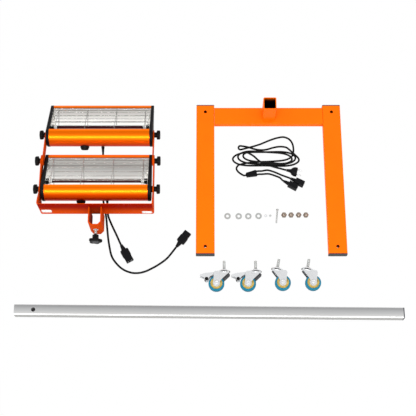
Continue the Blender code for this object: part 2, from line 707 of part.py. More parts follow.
def cassette(name, pivot, tilt, boss):
    """One cassette turned about its pivot. Its frame has u and w in the section and Z along the head's width."""
    y, z = pivot
    here = frame_at((head_x, y, z), (0, math.cos(tilt), -math.sin(tilt)), (0, math.sin(tilt), math.cos(tilt)))
    inner_face = half_cassette - cap_thickness
    span = 2 * (inner_face - gap)
    shell = prism("shell", [strip(shell_path, -sheet)], span, here)
    radial = Vector((0, math.cos(switch_angle), math.sin(switch_angle)))
    pivot_point = Vector((head_x, y, z))
    switch_at = pivot_point + Vector((switch_x, 0, 0))
    switch_hole = rod(f"{name}_switch_hole", switch_radius + gap, switch_at + radial * (round_radius - 4 * sheet),
                      switch_at + radial * (round_radius + overrun), 20)
    combine(shell, [switch_hole], "DIFFERENCE")
    finish(shell, f"{name}_shell", "orange")
    turn_about(shell, pivot_point)

    trough = prism("trough", [strip(reflector_path, reflector_sheet)], span, here)
    finish(trough, f"{name}_reflector", "mirror")
    turn_about(trough, pivot_point)

    for side, sign in (("left", -1), ("right", 1)):
        cap = prism("cap", [cap_outline], cap_thickness,
                    here @ Matrix.Translation((0, 0, sign * (half_cassette - cap_thickness / 2))))
        soften(cap, 2 * edge, 1, 60)
        holder_depth = holder_reach + cap_thickness / 2
        holder = prism(f"{name}_holder_{side}", [block_outline(holder_side, holder_side, edge, 1)], holder_depth,
                       here @ Matrix.Translation((tube_u, tube_w, sign * (inner_face - holder_reach
                                                                          + holder_depth / 2))))
        ear = rod(f"{name}_boss_{side}", boss_radius, here @ Vector((0, 0, sign * (inner_face + 4 * edge))),
                  here @ Vector((0, 0, sign * boss)), 20)
        combine(cap, [holder, ear], "UNION")
        holder_face = inner_face - holder_reach
        seat = rod(f"{name}_tube_seat_{side}", tube_radius + gap,
                   here @ Vector((tube_u, tube_w, sign * (holder_face - overrun))),
                   here @ Vector((tube_u, tube_w, sign * (holder_face + tube_socket + gap))), 16)
        bore = rod(f"{name}_pivot_bore_{side}", shank_radius + gap,
                   here @ Vector((0, 0, sign * (boss - shank_reach - gap))),
                   here @ Vector((0, 0, sign * (boss + overrun))), 16)
        combine(cap, [seat, bore], "DIFFERENCE")
        finish(cap, f"{name}_cap_{side}", "black")
        turn_about(cap, pivot_point)

    tube_half = inner_face - holder_reach + tube_socket
    tube = turned("tube", [(0, tube_half), (tube_radius - edge, tube_half), (tube_radius, tube_half - edge),
                           (tube_radius, edge - tube_half), (tube_radius - edge, -tube_half), (0, -tube_half)],
                  16, here @ Matrix.Translation((tube_u, tube_w, 0)))
    finish(tube, f"{name}_tube", "ruby")
    turn_about(tube, pivot_point)

    bar_w = opening_rise - sheet - gap - wire_radius
    wire_w = bar_w + 1.3 * wire_radius
    wires = []
    for i in range(guard_wires):
        u = guard_first + (guard_last - guard_first) * i / (guard_wires - 1)
        wires.append(rod(f"{name}_wire_{i}", wire_radius, here @ Vector((u, wire_w, -inner_face + 2 * gap)),
                         here @ Vector((u, wire_w, inner_face - 2 * gap)), 6))
    near_end = opening_near + near_lip / 2
    far_end = opening_far - lip + wire_radius
    bar_pitch = bar_span_share * cassette_length / (guard_bars - 1)
    for i in range(guard_bars):
        x = (i - (guard_bars - 1) / 2) * bar_pitch
        wires.append(rod(f"{name}_bar_{i}", wire_radius, here @ Vector((near_end, bar_w, x)),
                         here @ Vector((far_end, bar_w, x)), 6))
    guard = combine(wires[0], wires[1:], "UNION")
    finish(guard, f"{name}_guard", "steel")
    turn_about(guard, pivot_point)

    seat_depth = sheet + switch_stroke + switch_radius ** 2 / (2 * round_radius)
    button = turned("button", [
        (0, switch_height), (0.62 * switch_radius, switch_height - edge), (0.86 * switch_radius, 0.72 * switch_height),
        (switch_radius, 0.45 * switch_height), (switch_radius, -seat_depth), (0, -seat_depth)],
        20, frame_at(switch_at + radial * round_radius, (1, 0, 0), Vector((1, 0, 0)).cross(-radial)))
    finish(button, f"{name}_switch", "black")
    turn_about(button, switch_at + radial * round_radius)


cassette("lower", lower_pivot, lower_tilt, lower_boss)
cassette("upper", upper_pivot, upper_tilt, upper_boss)

# Pole clamp
half_clamp = clamp_width / 2
chamfer = (clamp_width - clamp_flat) / 2
strap_path = [(-half_clamp, -gap), (-half_clamp, chamfer - clamp_reach), (chamfer - half_clamp, -clamp_reach),
              (half_clamp - chamfer, -clamp_reach), (half_clamp, chamfer - clamp_reach), (half_clamp, -gap)]
strap = prism("strap", [strip(strap_path, clamp_sheet)], clamp_height,
              Matrix.Translation((head_x, yoke_front, clamp_height / 2)))
clamp_level = clamp_height / 2
front_y = yoke_front - clamp_reach
screw_hole = rod("clamp_screw_hole", clamp_screw_radius + gap, (head_x, front_y - overrun, clamp_level),
                 (head_x, front_y + clamp_sheet + overrun, clamp_level), 20)
combine(strap, [screw_hole], "DIFFERENCE")
finish(strap, "clamp_strap", "red_orange")
outward = frame_at((head_x, front_y, clamp_level), (1, 0, 0), (0, 0, 1))
screw_in = clamp_sheet + clamp_tip
screw_out = clamp_standoff + 0.75 * clamp_hub
screw = turned("screw", [
    (0, screw_out), (clamp_screw_radius - edge, screw_out), (clamp_screw_radius, screw_out - edge),
    (clamp_screw_radius, 2 * edge - screw_in), (clamp_screw_radius - 2 * edge, -screw_in), (0, -screw_in)],
    16, outward)
finish(screw, "clamp_screw", "steel")
turn_about(screw, (head_x, front_y, clamp_level))
hub_start = clamp_standoff
grip = knob_head("grip", clamp_knob_radius, clamp_knob_height, clamp_lobes,
                 outward @ Matrix.Translation((0, 0, hub_start + clamp_hub)))
hub = turned("clamp_hub", [
    (0, hub_start + clamp_hub + edge), (clamp_hub_radius, hub_start + clamp_hub + edge),
    (clamp_hub_radius, hub_start + edge), (clamp_hub_radius - edge, hub_start), (0, hub_start)], 16, outward)
combine(grip, [hub], "UNION")
socket_bore_cut = rod("clamp_knob_bore", clamp_screw_radius + gap,
                      outward @ Vector((0, 0, hub_start - overrun)), outward @ Vector((0, 0, screw_out + gap)), 16)
combine(grip, [socket_bore_cut], "DIFFERENCE")
finish(grip, "clamp_knob", "black")
turn_about(grip, (head_x, front_y - clamp_standoff, clamp_level))


# Moulded plugs: each has its own frame, with Z along the cable towards the nose
def plug_frame(ends, level, tail_level):
    (x0, y0), (x1, y1) = ends
    start = Vector((x0, y0, tail_level))
    along = Vector((x1, y1, level)) - start
    side = Vector((-along.y, along.x, 0))
    return frame_at(start, side, along.cross(side)), along.length


def relief(name, tail_radius, body_radius, length, frame):
    return turned(name, [(0, length + edge), (body_radius, length + edge), (body_radius, 0.7 * length),
                         (tail_radius, edge), (tail_radius - edge, 0), (0, 0)], 12, frame)


lamp_radius = lamp_cord / 2
supply_radius = supply_cord / 2


def lamp_plug(node, ends):
    """An inline plug whose nose is a hollow shroud round three flat pins."""
    width, height = lamp_plug_width, lamp_plug_height
    frame, length = plug_frame(ends, height / 2, height / 2)
    relief_length = 0.3 * length
    nose = 0.3 * length
    body = prism("body", [block_outline(width, height, lamp_radius, 2)], length - relief_length - nose,
                 frame @ Matrix.Translation((0, 0, relief_length + (length - relief_length - nose) / 2)))
    soften(body, 2 * edge, 1, 50)
    shroud = prism(f"shroud_{node}", [block_outline(0.92 * width, 0.86 * height, lamp_radius, 2)], nose + overrun,
                   frame @ Matrix.Translation((0, 0, length - (nose + overrun) / 2)))
    tail = relief(f"relief_{node}", 1.3 * lamp_radius, 2.2 * lamp_radius, relief_length, frame)
    combine(body, [shroud, tail], "UNION")
    wall = 0.5 * lamp_radius
    hollow = prism(f"hollow_{node}", [block_outline(0.92 * width - 2 * wall, 0.86 * height - 2 * wall, wall, 2)],
                   nose, frame @ Matrix.Translation((0, 0, length - nose / 2 + overrun / 2)))
    combine(body, [hollow], "DIFFERENCE")
    pins = []
    for i in (-1, 0, 1):
        pin_length = 0.8 * nose
        pin_across, pin_up = i * 0.234 * width, (0.1 if i == 0 else -0.06) * height
        pins.append(prism(f"pin_{node}_{i}", [block_outline(0.07 * width, 0.2 * height, 0, 1)],
                          pin_length + overrun,
                          frame @ Matrix.Translation((pin_across, pin_up,
                                                      length - 0.9 * nose + (pin_length - overrun) / 2))))
    combine(body, pins, "UNION")
    finish(body, node, "black")
    return frame


def connector(node, ends):
    """An inline appliance connector with a tapered body and three blind slots in its face."""
    width, height = 2.9 * supply_cord, 3.8 * supply_cord
    frame, length = plug_frame(ends, height / 2, height / 2)
    relief_length = 0.36 * length
    block = prism("block", [block_outline(width, height, supply_radius / 2, 2)], length - relief_length,
                  frame @ Matrix.Translation((0, 0, relief_length + (length - relief_length) / 2)))
    soften(block, 2 * edge, 1, 50)
    tail = relief(f"relief_{node}", 1.25 * supply_radius, 2.0 * supply_radius, relief_length, frame)
    combine(block, [tail], "UNION")
    slots = []
    for i in (-1, 0, 1):
        slots.append(prism(f"slot_{node}_{i}", [block_outline(0.75 * supply_cord, 0.35 * supply_cord, 0, 1)],
                           0.4 * length,
                           frame @ Matrix.Translation(((0.3 if i == 0 else -0.2) * supply_cord,
                                                       i * supply_cord, length - 0.1 * length))))
    combine(block, slots, "DIFFERENCE")
    finish(block, node, "black")
    return frame


def landing(start, out, level):
    """Straight out of a housing and round one bend on to the floor, in the upright plane of the way out."""
    down = math.asin(-out.z)
    ahead = Vector((out.x, out.y, 0)).normalized()
    straight = (start.z - level - lead_bend * (1 - math.cos(down))) / math.sin(down)
    turn_start = start + out * straight
    middle = turn_start + ahead * (lead_bend * math.sin(down)) + Vector((0, 0, lead_bend * math.cos(down)))
    points = [start, start.lerp(turn_start, 0.5)]
    for share in (0, 1 / 3, 2 / 3, 1):
        left = down * (1 - share)
        points.append(middle - ahead * (lead_bend * math.sin(left)) - Vector((0, 0, lead_bend * math.cos(left))))
    return points


def cord_ends(route, start_frame=None, end_frame=None, diameter=lamp_cord):
    """The route with a straight stretch of one diameter at each end that meets a plug or a block."""
    route = [Vector(p) for p in route]
    if start_frame is not None:
        z = start_frame.to_3x3().col[2]
        route = [start_frame.translation - z * gap, start_frame.translation - z * (gap + diameter), *route]
    if end_frame is not None:
        z = end_frame.to_3x3().col[2]
        route = [*route, end_frame.translation - z * (gap + diameter), end_frame.translation - z * gap]
    return route


# Lamp leads, from the round backs of the cassettes to their plugs
for number, shares, ends, pivot, angle, dx in (
        (1, lead_1_shares, lamp_plug_1, lower_pivot, lower_lead_angle, lamp_lead_1_x),
        (2, lead_2_shares, lamp_plug_2, upper_pivot, upper_lead_angle, lamp_lead_2_x)):
    plug = lamp_plug(f"lamp_plug_{number}", ends)
    out = Vector((0, math.cos(angle), math.sin(angle)))
    exit_point = Vector((head_x + dx, *pivot)) + out * (round_radius + gap)
    floor = [(head_x + lead_span * across, yoke_front + lead_span * away, lamp_radius) for across, away in shares]
    route = cord_ends([*landing(exit_point, out, lamp_radius), *floor], None, plug)
    cord(f"lamp_lead_{number}", smooth_route(route, 2.4 * lamp_cord), lamp_cord, 2)

# Supply lead: mains plug, hank, splitter block, two tails and their connectors
splitter_frame, splitter_length = plug_frame(splitter_ends, splitter_height / 2, splitter_height / 2)
splitter_outline = fillet([(-splitter_width / 3, 0), (splitter_width / 3, 0),
                           (splitter_width / 2, splitter_length), (-splitter_width / 2, splitter_length)],
                          splitter_height / 4, 2)
flat_splitter = splitter_frame @ Matrix(((1, 0, 0, 0), (0, 0, 1, 0), (0, 1, 0, 0), (0, 0, 0, 1)))
splitter = prism("splitter", [splitter_outline], splitter_height, flat_splitter)
soften(splitter, 2 * edge, 1, 50)
finish(splitter, "lead_splitter", "black")

body_level = mains_plug_radius
mains_frame, mains_length = plug_frame(mains_plug_ends, body_level, body_level)
relief_share = 0.4
body_start = relief_share * mains_length
mains = turned("mains", [
    (0, mains_length), (0.93 * mains_plug_radius, mains_length), (mains_plug_radius, mains_length - 3 * edge),
    (mains_plug_radius, 0.72 * mains_length), (0.82 * mains_plug_radius, 0.55 * mains_length),
    (0.6 * mains_plug_radius, body_start), (1.9 * supply_radius, body_start), (1.25 * supply_radius, edge),
    (1.25 * supply_radius - edge, 0), (0, 0)], 20, mains_frame)
pin_pitch = 0.53 * mains_plug_radius
pins = [rod(f"mains_pin_{i}", 0.13 * mains_plug_radius,
            mains_frame @ Vector((0, i * pin_pitch, mains_length - overrun)),
            mains_frame @ Vector((0, i * pin_pitch, mains_length + mains_plug_radius)), 8) for i in (-1, 1)]
combine(mains, pins, "UNION")
finish(mains, "mains_plug", "black")


def in_hank(shares):
    return [Vector((hank_x + across * hank_length, hank_y + away * hank_length, up * hank_length))
            for across, away, up in shares]


def hank_turn_points():
    """The hank's turns: flattened ovals with a waist that shrink, lean and climb one layer a turn."""
    angle = np.linspace(math.radians(12), math.radians(12) - hank_turns * 2 * math.pi,
                        round(hank_turns * turn_points) + 1)
    turn = (angle[0] - angle) / (2 * math.pi)
    half_length = hank_length * (0.492 - 0.062 * turn)
    half_width = hank_length * (0.150 - 0.018 * turn)
    lean = np.radians(-2 + 3.0 * np.sin(2.2 * turn))
    x = half_length * np.cos(angle)
    y = half_width * np.sin(angle) * (1 - 0.28 * np.sin(angle) ** 4)
    across = x * np.cos(lean) - y * np.sin(lean) + hank_length * (0.005 + 0.010 * turn)
    away = x * np.sin(lean) + y * np.cos(lean) - hank_length * 0.055
    up = supply_radius + hank_layer * (1 + turn)
    return [Vector((hank_x + a, hank_y + b, c)) for a, b, c in zip(across, away, up)]


def least_gap(points, diameter, apart):
    """The least gap of a cord to itself, measured between finely spaced points that are not close along it."""
    fine = []
    for a, b in zip(points, points[1:]):
        fine += [a.lerp(b, t / 4) for t in range(4)]
    fine = np.array([tuple(p) for p in fine])
    run = np.concatenate([[0], np.cumsum(np.linalg.norm(np.diff(fine, axis=0), axis=1))])
    distance = np.linalg.norm(fine[:, None] - fine[None], axis=2)
    distance[np.abs(run[:, None] - run[None]) < apart] = np.inf
    i, j = np.unravel_index(np.argmin(distance), distance.shape)
    print(f"least gap {1000 * (distance[i, j] - diameter):.2f} mm at {fine[i].round(4)} and {fine[j].round(4)}")


outward_half = cord_ends([], splitter_frame, None, supply_cord) + in_hank(hank_start_shares)
turns = hank_turn_points()
ending = cord_ends(in_hank(hank_end_shares), None, mains_frame, supply_cord)
before = smooth_route(outward_half + turns[:2], 2.6 * supply_cord)
cut_back = before.index(min(before, key=lambda p: (p - turns[0]).length))
after = smooth_route(turns[-2:] + ending, 2.4 * supply_cord)
cut_on = after.index(min(after, key=lambda p: (p - turns[-1]).length))
hank = before[:cut_back] + turns + after[cut_on + 1:]
least_gap(hank, supply_cord, 4 * supply_cord)
cord("supply_lead", hank, supply_cord, 1)
tail_offset = tail_spacing / 2
for number, shares, ends, sign in ((1, tail_1_shares, connector_1_ends, 1), (2, tail_2_shares, connector_2_ends, -1)):
    plug = connector(f"connector_{number}", ends)
    leave = splitter_frame @ Matrix.Translation((-sign * tail_offset, 0, splitter_length)) @ Matrix.Rotation(
        math.pi, 4, "X")
    route = cord_ends(in_hank(shares), leave, plug, supply_cord)
    cord(f"tail_lead_{number}", smooth_route(route, 2.4 * supply_cord), supply_cord, 1)

# The origin goes on the floor under the middle of the kit, measured without the leads and what hangs on them
bpy.context.view_layer.update()
graph = bpy.context.evaluated_depsgraph_get()
loose = ("lead", "plug", "connector")
corners = []
for obj in parts.objects:
    if not any(word in obj.name for word in loose):
        made = obj.evaluated_get(graph)
        corners += [made.matrix_world @ Vector(corner) for corner in made.bound_box]
corners = np.array([tuple(corner) for corner in corners])
middle = (corners.min(axis=0) + corners.max(axis=0)) / 2
for obj in [*parts.objects, *cutters.objects]:
    obj.location.x -= middle[0]
    obj.location.y -= middle[1]
print("kit", (corners.max(axis=0) - corners.min(axis=0)).round(4), "moved by", (-middle[:2]).round(5))
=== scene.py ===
# %% [markdown]
# # Infrared paint curing lamp, laid out as a kit
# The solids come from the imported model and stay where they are. This lesson dresses them: smooth
# numpy surfaces take the place of the faceted ones, and every surface gets a procedural finish.

# %% Load the frame
import json
import math

import bmesh
import bpy
import numpy as np
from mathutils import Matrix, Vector


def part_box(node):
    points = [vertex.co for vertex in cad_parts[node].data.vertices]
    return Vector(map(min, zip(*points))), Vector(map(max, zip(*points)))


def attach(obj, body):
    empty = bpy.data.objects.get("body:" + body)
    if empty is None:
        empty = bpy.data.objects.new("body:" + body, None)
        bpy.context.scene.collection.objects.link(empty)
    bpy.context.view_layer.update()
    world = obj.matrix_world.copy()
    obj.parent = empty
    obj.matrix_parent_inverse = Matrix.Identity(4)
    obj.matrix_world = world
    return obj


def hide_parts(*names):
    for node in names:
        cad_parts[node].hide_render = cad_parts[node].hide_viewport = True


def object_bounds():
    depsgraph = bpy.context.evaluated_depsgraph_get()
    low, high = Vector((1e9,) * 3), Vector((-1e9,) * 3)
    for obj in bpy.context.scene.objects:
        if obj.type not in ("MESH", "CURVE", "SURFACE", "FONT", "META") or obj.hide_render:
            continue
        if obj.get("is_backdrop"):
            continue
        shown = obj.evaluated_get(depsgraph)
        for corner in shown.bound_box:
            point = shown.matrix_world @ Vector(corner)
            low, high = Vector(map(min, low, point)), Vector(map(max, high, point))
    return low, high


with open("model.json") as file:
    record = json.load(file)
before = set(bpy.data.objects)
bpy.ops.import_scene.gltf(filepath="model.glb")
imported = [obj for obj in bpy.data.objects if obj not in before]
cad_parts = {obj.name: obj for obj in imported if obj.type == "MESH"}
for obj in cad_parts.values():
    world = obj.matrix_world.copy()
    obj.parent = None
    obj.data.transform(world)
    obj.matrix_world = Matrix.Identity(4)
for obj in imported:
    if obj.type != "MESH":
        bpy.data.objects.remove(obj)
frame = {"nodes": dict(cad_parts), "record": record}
nodes = frame["nodes"]
cad_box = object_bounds()
print("loaded", len(nodes), "nodes")

# %% [markdown]
# ## Camera
# A long lens 3.5 m away keeps the rails nearly parallel, as they are in the picture.

# %% Camera
aim = Vector((-0.004, 0.0037, 0.0))
elevation = math.radians(70)
camera_distance = 3.5


def linked(name, data):
    """A new object with this data, in the scene."""
    obj = bpy.data.objects.new(name, data)
    bpy.context.scene.collection.objects.link(obj)
    return obj


camera = linked("camera", bpy.data.cameras.new("camera"))
camera.data.sensor_width = 36
camera.data.lens = 81.86
camera.location = aim + camera_distance * Vector((0, -math.cos(elevation), math.sin(elevation)))
camera.rotation_euler = (math.pi / 2 - elevation, 0, 0)
bpy.context.scene.camera = camera
print("camera at", [round(v, 3) for v in camera.location])

# %% [markdown]
# ## Surfaces from arrays
# Most pieces here are a grid of points: one parameter runs round the piece and the other along it.
# One helper turns such a grid into a mesh, welds its poles and closes its ends.

# %% Grid helper
kit_shift = np.array([0.0, -0.004338, 0.0])
x_way, up, front = np.array([1.0, 0.0, 0.0]), np.array([0.0, 0.0, 1.0]), np.array([0.0, -1.0, 0.0])
sides = (("left", -1), ("right", 1))


def unit(vectors):
    """Each vector divided by its length."""
    return vectors / np.linalg.norm(vectors, axis=-1, keepdims=True)


def full_turn(steps):
    """Equal steps of an angle once round."""
    return np.linspace(0, 2 * math.pi, steps, endpoint=False)


def smooth_step(share):
    """From 0 to 1 with level ends: 3 t^2 - 2 t^3."""
    return share * share * (3 - 2 * share)


def grid_piece(name, points, wrap_u=False, wrap_v=False, close_ends=False, sharp=32):
    """A mesh from points[u, v]: quads between neighbours, wrapped or capped where asked."""
    rows, columns = points.shape[:2]
    index = np.arange(rows * columns).reshape(rows, columns)
    if wrap_u:
        index = np.vstack([index, index[:1]])
    if wrap_v:
        index = np.hstack([index, index[:, :1]])
    quads = np.stack([index[:-1, :-1], index[1:, :-1], index[1:, 1:], index[:-1, 1:]], axis=-1)
    faces = quads.reshape(-1, 4).tolist()
    if close_ends:
        faces += [index[0, :columns].tolist(), index[rows - 1, :columns][::-1].tolist()]
    mesh = bpy.data.meshes.new(name)
    mesh.from_pydata(points.reshape(-1, 3), [], faces)
    bm = bmesh.new()
    bm.from_mesh(mesh)
    bmesh.ops.remove_doubles(bm, verts=bm.verts, dist=1e-7)
    bmesh.ops.recalc_face_normals(bm, faces=bm.faces)
    bm.to_mesh(mesh)
    bm.free()
    mesh.shade_smooth()
    mesh.set_sharp_from_angle(angle=math.radians(sharp))
    return linked(name, mesh)


def placed(points, origin, axes):
    return np.asarray(origin, float) + np.array(points, float) @ np.array(axes, float)


def joined(name, pieces):
    """Several pieces made one mesh, so that they ride and take a finish together."""
    bm = bmesh.new()
    for piece in pieces:
        mesh = piece.data
        bm.from_mesh(mesh)
        bpy.data.objects.remove(piece, do_unlink=True)
        bpy.data.meshes.remove(mesh)
    mesh = bpy.data.meshes.new(name)
    bm.to_mesh(mesh)
    bm.free()
    return linked(name, mesh)


print("grid helpers ready")

# %% [markdown]
# ## Turned pieces
# Knobs, wheels, cups, nuts and tubes are turned or moulded round an axis, so each is a profile in
# millimetres carried round it. Lobes and flats come from a factor that varies with the angle.

# %% Turned pieces


def axes_along(direction):
    """Three axes at right angles, the last one along the direction."""
    z = unit(np.array(direction, float))
    x = np.cross(up, z)
    x = unit(x) if np.linalg.norm(x) > 1e-6 else x_way
    return x, np.cross(z, x), z


def lathe(name, profile, steps, origin, direction, wobble=None, recess=None, sharp=32):
    """Pairs (radius, height) in mm make radius(s) (cos a, sin a) and height(s) along the direction. A profile
    that keeps off the axis closes on itself. wobble(angle, radius) multiplies the radius where the piece is
    lobed, and recess(angle, radius) the height where it is ribbed."""
    ring = profile[0][0] > 0
    radius, height = (np.repeat(column[:, None], steps, axis=1) for column in np.array(profile, float).T)
    angle = full_turn(steps)[None, :]
    if recess is not None:
        height = height * recess(angle, radius)
    if wobble is not None:
        radius = radius * wobble(angle, radius)
    local = np.stack([radius * np.cos(angle), radius * np.sin(angle), height], axis=-1) / 1000
    return grid_piece(name, placed(local, origin, axes_along(direction)), wrap_u=ring, wrap_v=True, sharp=sharp)


def lobed(count, depth, inner, outer):
    """The radius's factor: 1 on the hub, with hollows between the lobes that deepen towards the rim."""
    def factor(angle, radius):
        t = np.clip((radius - inner) / (outer - inner), 0, 1)
        return 1 - depth * smooth_step(t) * (0.5 - 0.5 * np.cos(count * angle))
    return factor


def hexagon(angle, radius):
    """The radius's factor that turns a circle round the corners into six flats."""
    return math.cos(math.pi / 6) / np.cos(np.mod(angle, math.pi / 3) - math.pi / 6)


print("turned pieces ready")

# %% [markdown]
# ## Threads, wires and blocks
# The screws carry real threads, the guards are welded from round wire, and pins, ribs and plates are
# small blocks whose edges are rounded, so that each catches a thin line of light.

# %% Threads, wires and blocks


def threaded(name, radius, start, end, pitch, depth, origin, direction):
    """A screw thread: the radius dips by the depth once in each pitch, later by a pitch a full turn on."""
    height = np.linspace(start, end, max(8, round((end - start) / pitch * 6)))[:, None]
    angle = full_turn(24)[None, :]
    groove = 0.5 + 0.5 * np.cos(2 * math.pi * height / pitch - angle)
    to_end = np.minimum(height - start, end - height)
    bar = np.minimum(radius - depth * groove, radius - depth + to_end)
    local = np.stack([bar * np.cos(angle), bar * np.sin(angle), height + 0 * angle], axis=-1)
    return grid_piece(name, placed(local, origin, axes_along(direction)), wrap_v=True, close_ends=True, sharp=50)


def rod_between(radius, start, end):
    """A round wire from one point to another, with its ends slightly rounded."""
    length = float(np.linalg.norm(end - start))
    profile = [(0, 0), (0.6 * radius, 0), (radius, 0.4 * radius), (radius, length - 0.4 * radius),
               (0.6 * radius, length), (0, length)]
    return lathe("rod", 1000 * np.array(profile), 12, start, end - start)


def rounded_block(name, size, corner, origin, axes):
    """A block rounded on its sides and end faces: a superellipse section drawn between two shrunken ends."""
    across, tall, depth = size
    angle = full_turn(32) + math.pi / 32
    power = 0.28
    section = np.stack([np.sign(turn) * np.abs(turn) ** power * half
                        for turn, half in ((np.cos(angle), across / 2), (np.sin(angle), tall / 2))], axis=1)
    inset = np.array([corner, 0.3 * corner, 0, 0, 0.3 * corner, corner])
    level = np.array([0, 0.3 * corner, corner, depth - corner, depth - 0.3 * corner, depth])
    shrink = 1 - 2 * inset[:, None] / np.array([across, tall])[None, :]
    heights = np.broadcast_to(level[:, None, None], (6, 32, 1))
    local = np.concatenate([section[None] * shrink[:, None], heights], axis=-1)
    return grid_piece(name, placed(local, origin, axes), wrap_v=True, close_ends=True, sharp=40)


print("threads, wires and blocks ready")

# %% [markdown]
# ## Measures of the leads
# Each plug is given by its two ends on the floor and by its height. A lamp lead's route is given by
# points seen in the picture, as shares of a 300 mm span from the head's middle and the yoke's front.

# %% Lead measures
head_x, yoke_front, lead_span = -0.409, -0.024, 0.300
lamp_cord, supply_cord, gap = 0.0075, 0.007, 0.0003
lamp_plug_height, lamp_plug_width, lead_bend = 0.0204, 0.030, 0.0315
round_radius, tail_offset = 0.0430, 0.0065
route_step, fine_step = 2.4, 0.45
pivot_z = {"lower": 0.075, "upper": 0.044}
pivot_y = {"lower": 0.054, "upper": 0.165 + math.sqrt(0.1228 ** 2 - 0.031 ** 2)}
plug_ends = {
    "lamp_plug_1": ((-0.3194, -0.1397), (-0.2849, -0.2011)), "lamp_plug_2": ((-0.1178, -0.1446), (-0.0771, -0.0906)),
    "mains_plug": ((0.2890, 0.1520), (0.3285, 0.1435)), "lead_splitter": ((0.1385, 0.1365), (0.1785, 0.1455)),
    "connector_1": ((0.2790, 0.1095), (0.3270, 0.0820)), "connector_2": ((0.3040, 0.1200), (0.3520, 0.0960))}
plug_level = {"lamp_plug_1": lamp_plug_height / 2, "lamp_plug_2": lamp_plug_height / 2, "mains_plug": 0.018,
              "lead_splitter": 0.0055, "connector_1": 1.9 * supply_cord, "connector_2": 1.9 * supply_cord}
lamp_shares = {
    1: ((0.127, -0.010), (0.178, -0.131), (0.240, -0.260)),
    2: ((0.027, 0.560), (0.040, 0.340), (0.065, 0.150), (0.099, -0.010), (0.114, -0.130), (0.129, -0.250),
        (0.150, -0.380), (0.193, -0.536), (0.295, -0.661), (0.393, -0.715), (0.482, -0.731), (0.593, -0.711),
        (0.741, -0.633), (0.852, -0.548), (0.918, -0.466))}
lamp_exit = {1: ("lower", math.radians(240), 0.034), 2: ("upper", math.radians(207), 0.010)}
print("plugs:", list(plug_ends))

# %% [markdown]
# ## Leads
# The leads are the only soft pieces. Each follows the route of its solid: a Catmull-Rom curve
# through the route's points, kept at least one radius above the floor.

# %% Lead routes


def smooth_route(points, spacing):
    """Catmull-Rom: each stretch is a cubic of the four nearest route points."""
    points = np.asarray(points, float)
    padded = np.vstack([2 * points[0] - points[1], points, 2 * points[-1] - points[-2]])
    made = []
    for a, b, c, d in zip(padded, padded[1:], padded[2:], padded[3:]):
        steps = max(1, round(float(np.linalg.norm(c - b)) / spacing))
        t = np.arange(steps)[:, None] / steps
        made.append(0.5 * (2 * b + (c - a) * t + (2 * a - 5 * b + 4 * c - d) * t ** 2
                           + (3 * b - a - 3 * c + d) * t ** 3))
    return np.vstack([*made, points[-1:]])


def plug_axis(name):
    """Where a plug's cable end lies, its direction, its left side and its length."""
    start, end = (np.array([x, y, plug_level[name]]) for x, y in plug_ends[name])
    length = float(np.linalg.norm(end - start))
    along = (end - start) / length
    return start, along, np.array([-along[1], along[0], 0.0]), length


def before_plug(name, cord):
    """The last two points of a route: a cord's width off the plug's face, and just off it."""
    start, along = plugs[name][:2]
    return start - np.outer([gap + cord, gap], along)


def above_floor(points, diameter):
    """The same points, none of them lower than a cord's radius."""
    return np.column_stack([points[:, :2], np.maximum(points[:, 2], diameter / 2)])


def landing(start, out, level):
    """Straight out of a housing and round one bend on to the floor, in the upright plane of the way out."""
    down = math.asin(-out[2])
    ahead = np.array([out[0], out[1], 0.0]) / math.hypot(out[0], out[1])
    straight = (start[2] - level - lead_bend * (1 - math.cos(down))) / math.sin(down)
    turn_start = start + out * straight
    middle = turn_start + ahead * lead_bend * math.sin(down) + up * lead_bend * math.cos(down)
    left = (down * (1 - np.array([0, 1 / 3, 2 / 3, 1])))[:, None]
    bend = middle - ahead * lead_bend * np.sin(left) - up * lead_bend * np.cos(left)
    return np.vstack([start, (start + turn_start) / 2, bend])


plugs = {name: plug_axis(name) for name in plug_ends}
routes, lead_exits = {}, {}
for number, (cassette_name, angle, dx) in lamp_exit.items():
    out = np.array([0, math.cos(angle), math.sin(angle)])
    leave = np.array([head_x + dx, pivot_y[cassette_name], pivot_z[cassette_name]]) + out * (round_radius + gap)
    floor_points = [(head_x + lead_span * x, yoke_front + lead_span * y, lamp_cord / 2)
                    for x, y in lamp_shares[number]]
    route = np.vstack([landing(leave, out, lamp_cord / 2), floor_points,
                       before_plug(f"lamp_plug_{number}", lamp_cord)])
    lead_exits[number] = (leave + kit_shift, out)
    routes[f"lamp_lead_{number}"] = above_floor(smooth_route(route, route_step * lamp_cord), lamp_cord)
print({name: len(points) for name, points in routes.items()})

# %% [markdown]
# ## The supply lead's hank
# The cable is folded into long flattened turns with a waist. Each turn is a little smaller, leans
# a little more and lies one layer higher than the last, so that the cable never meets itself.

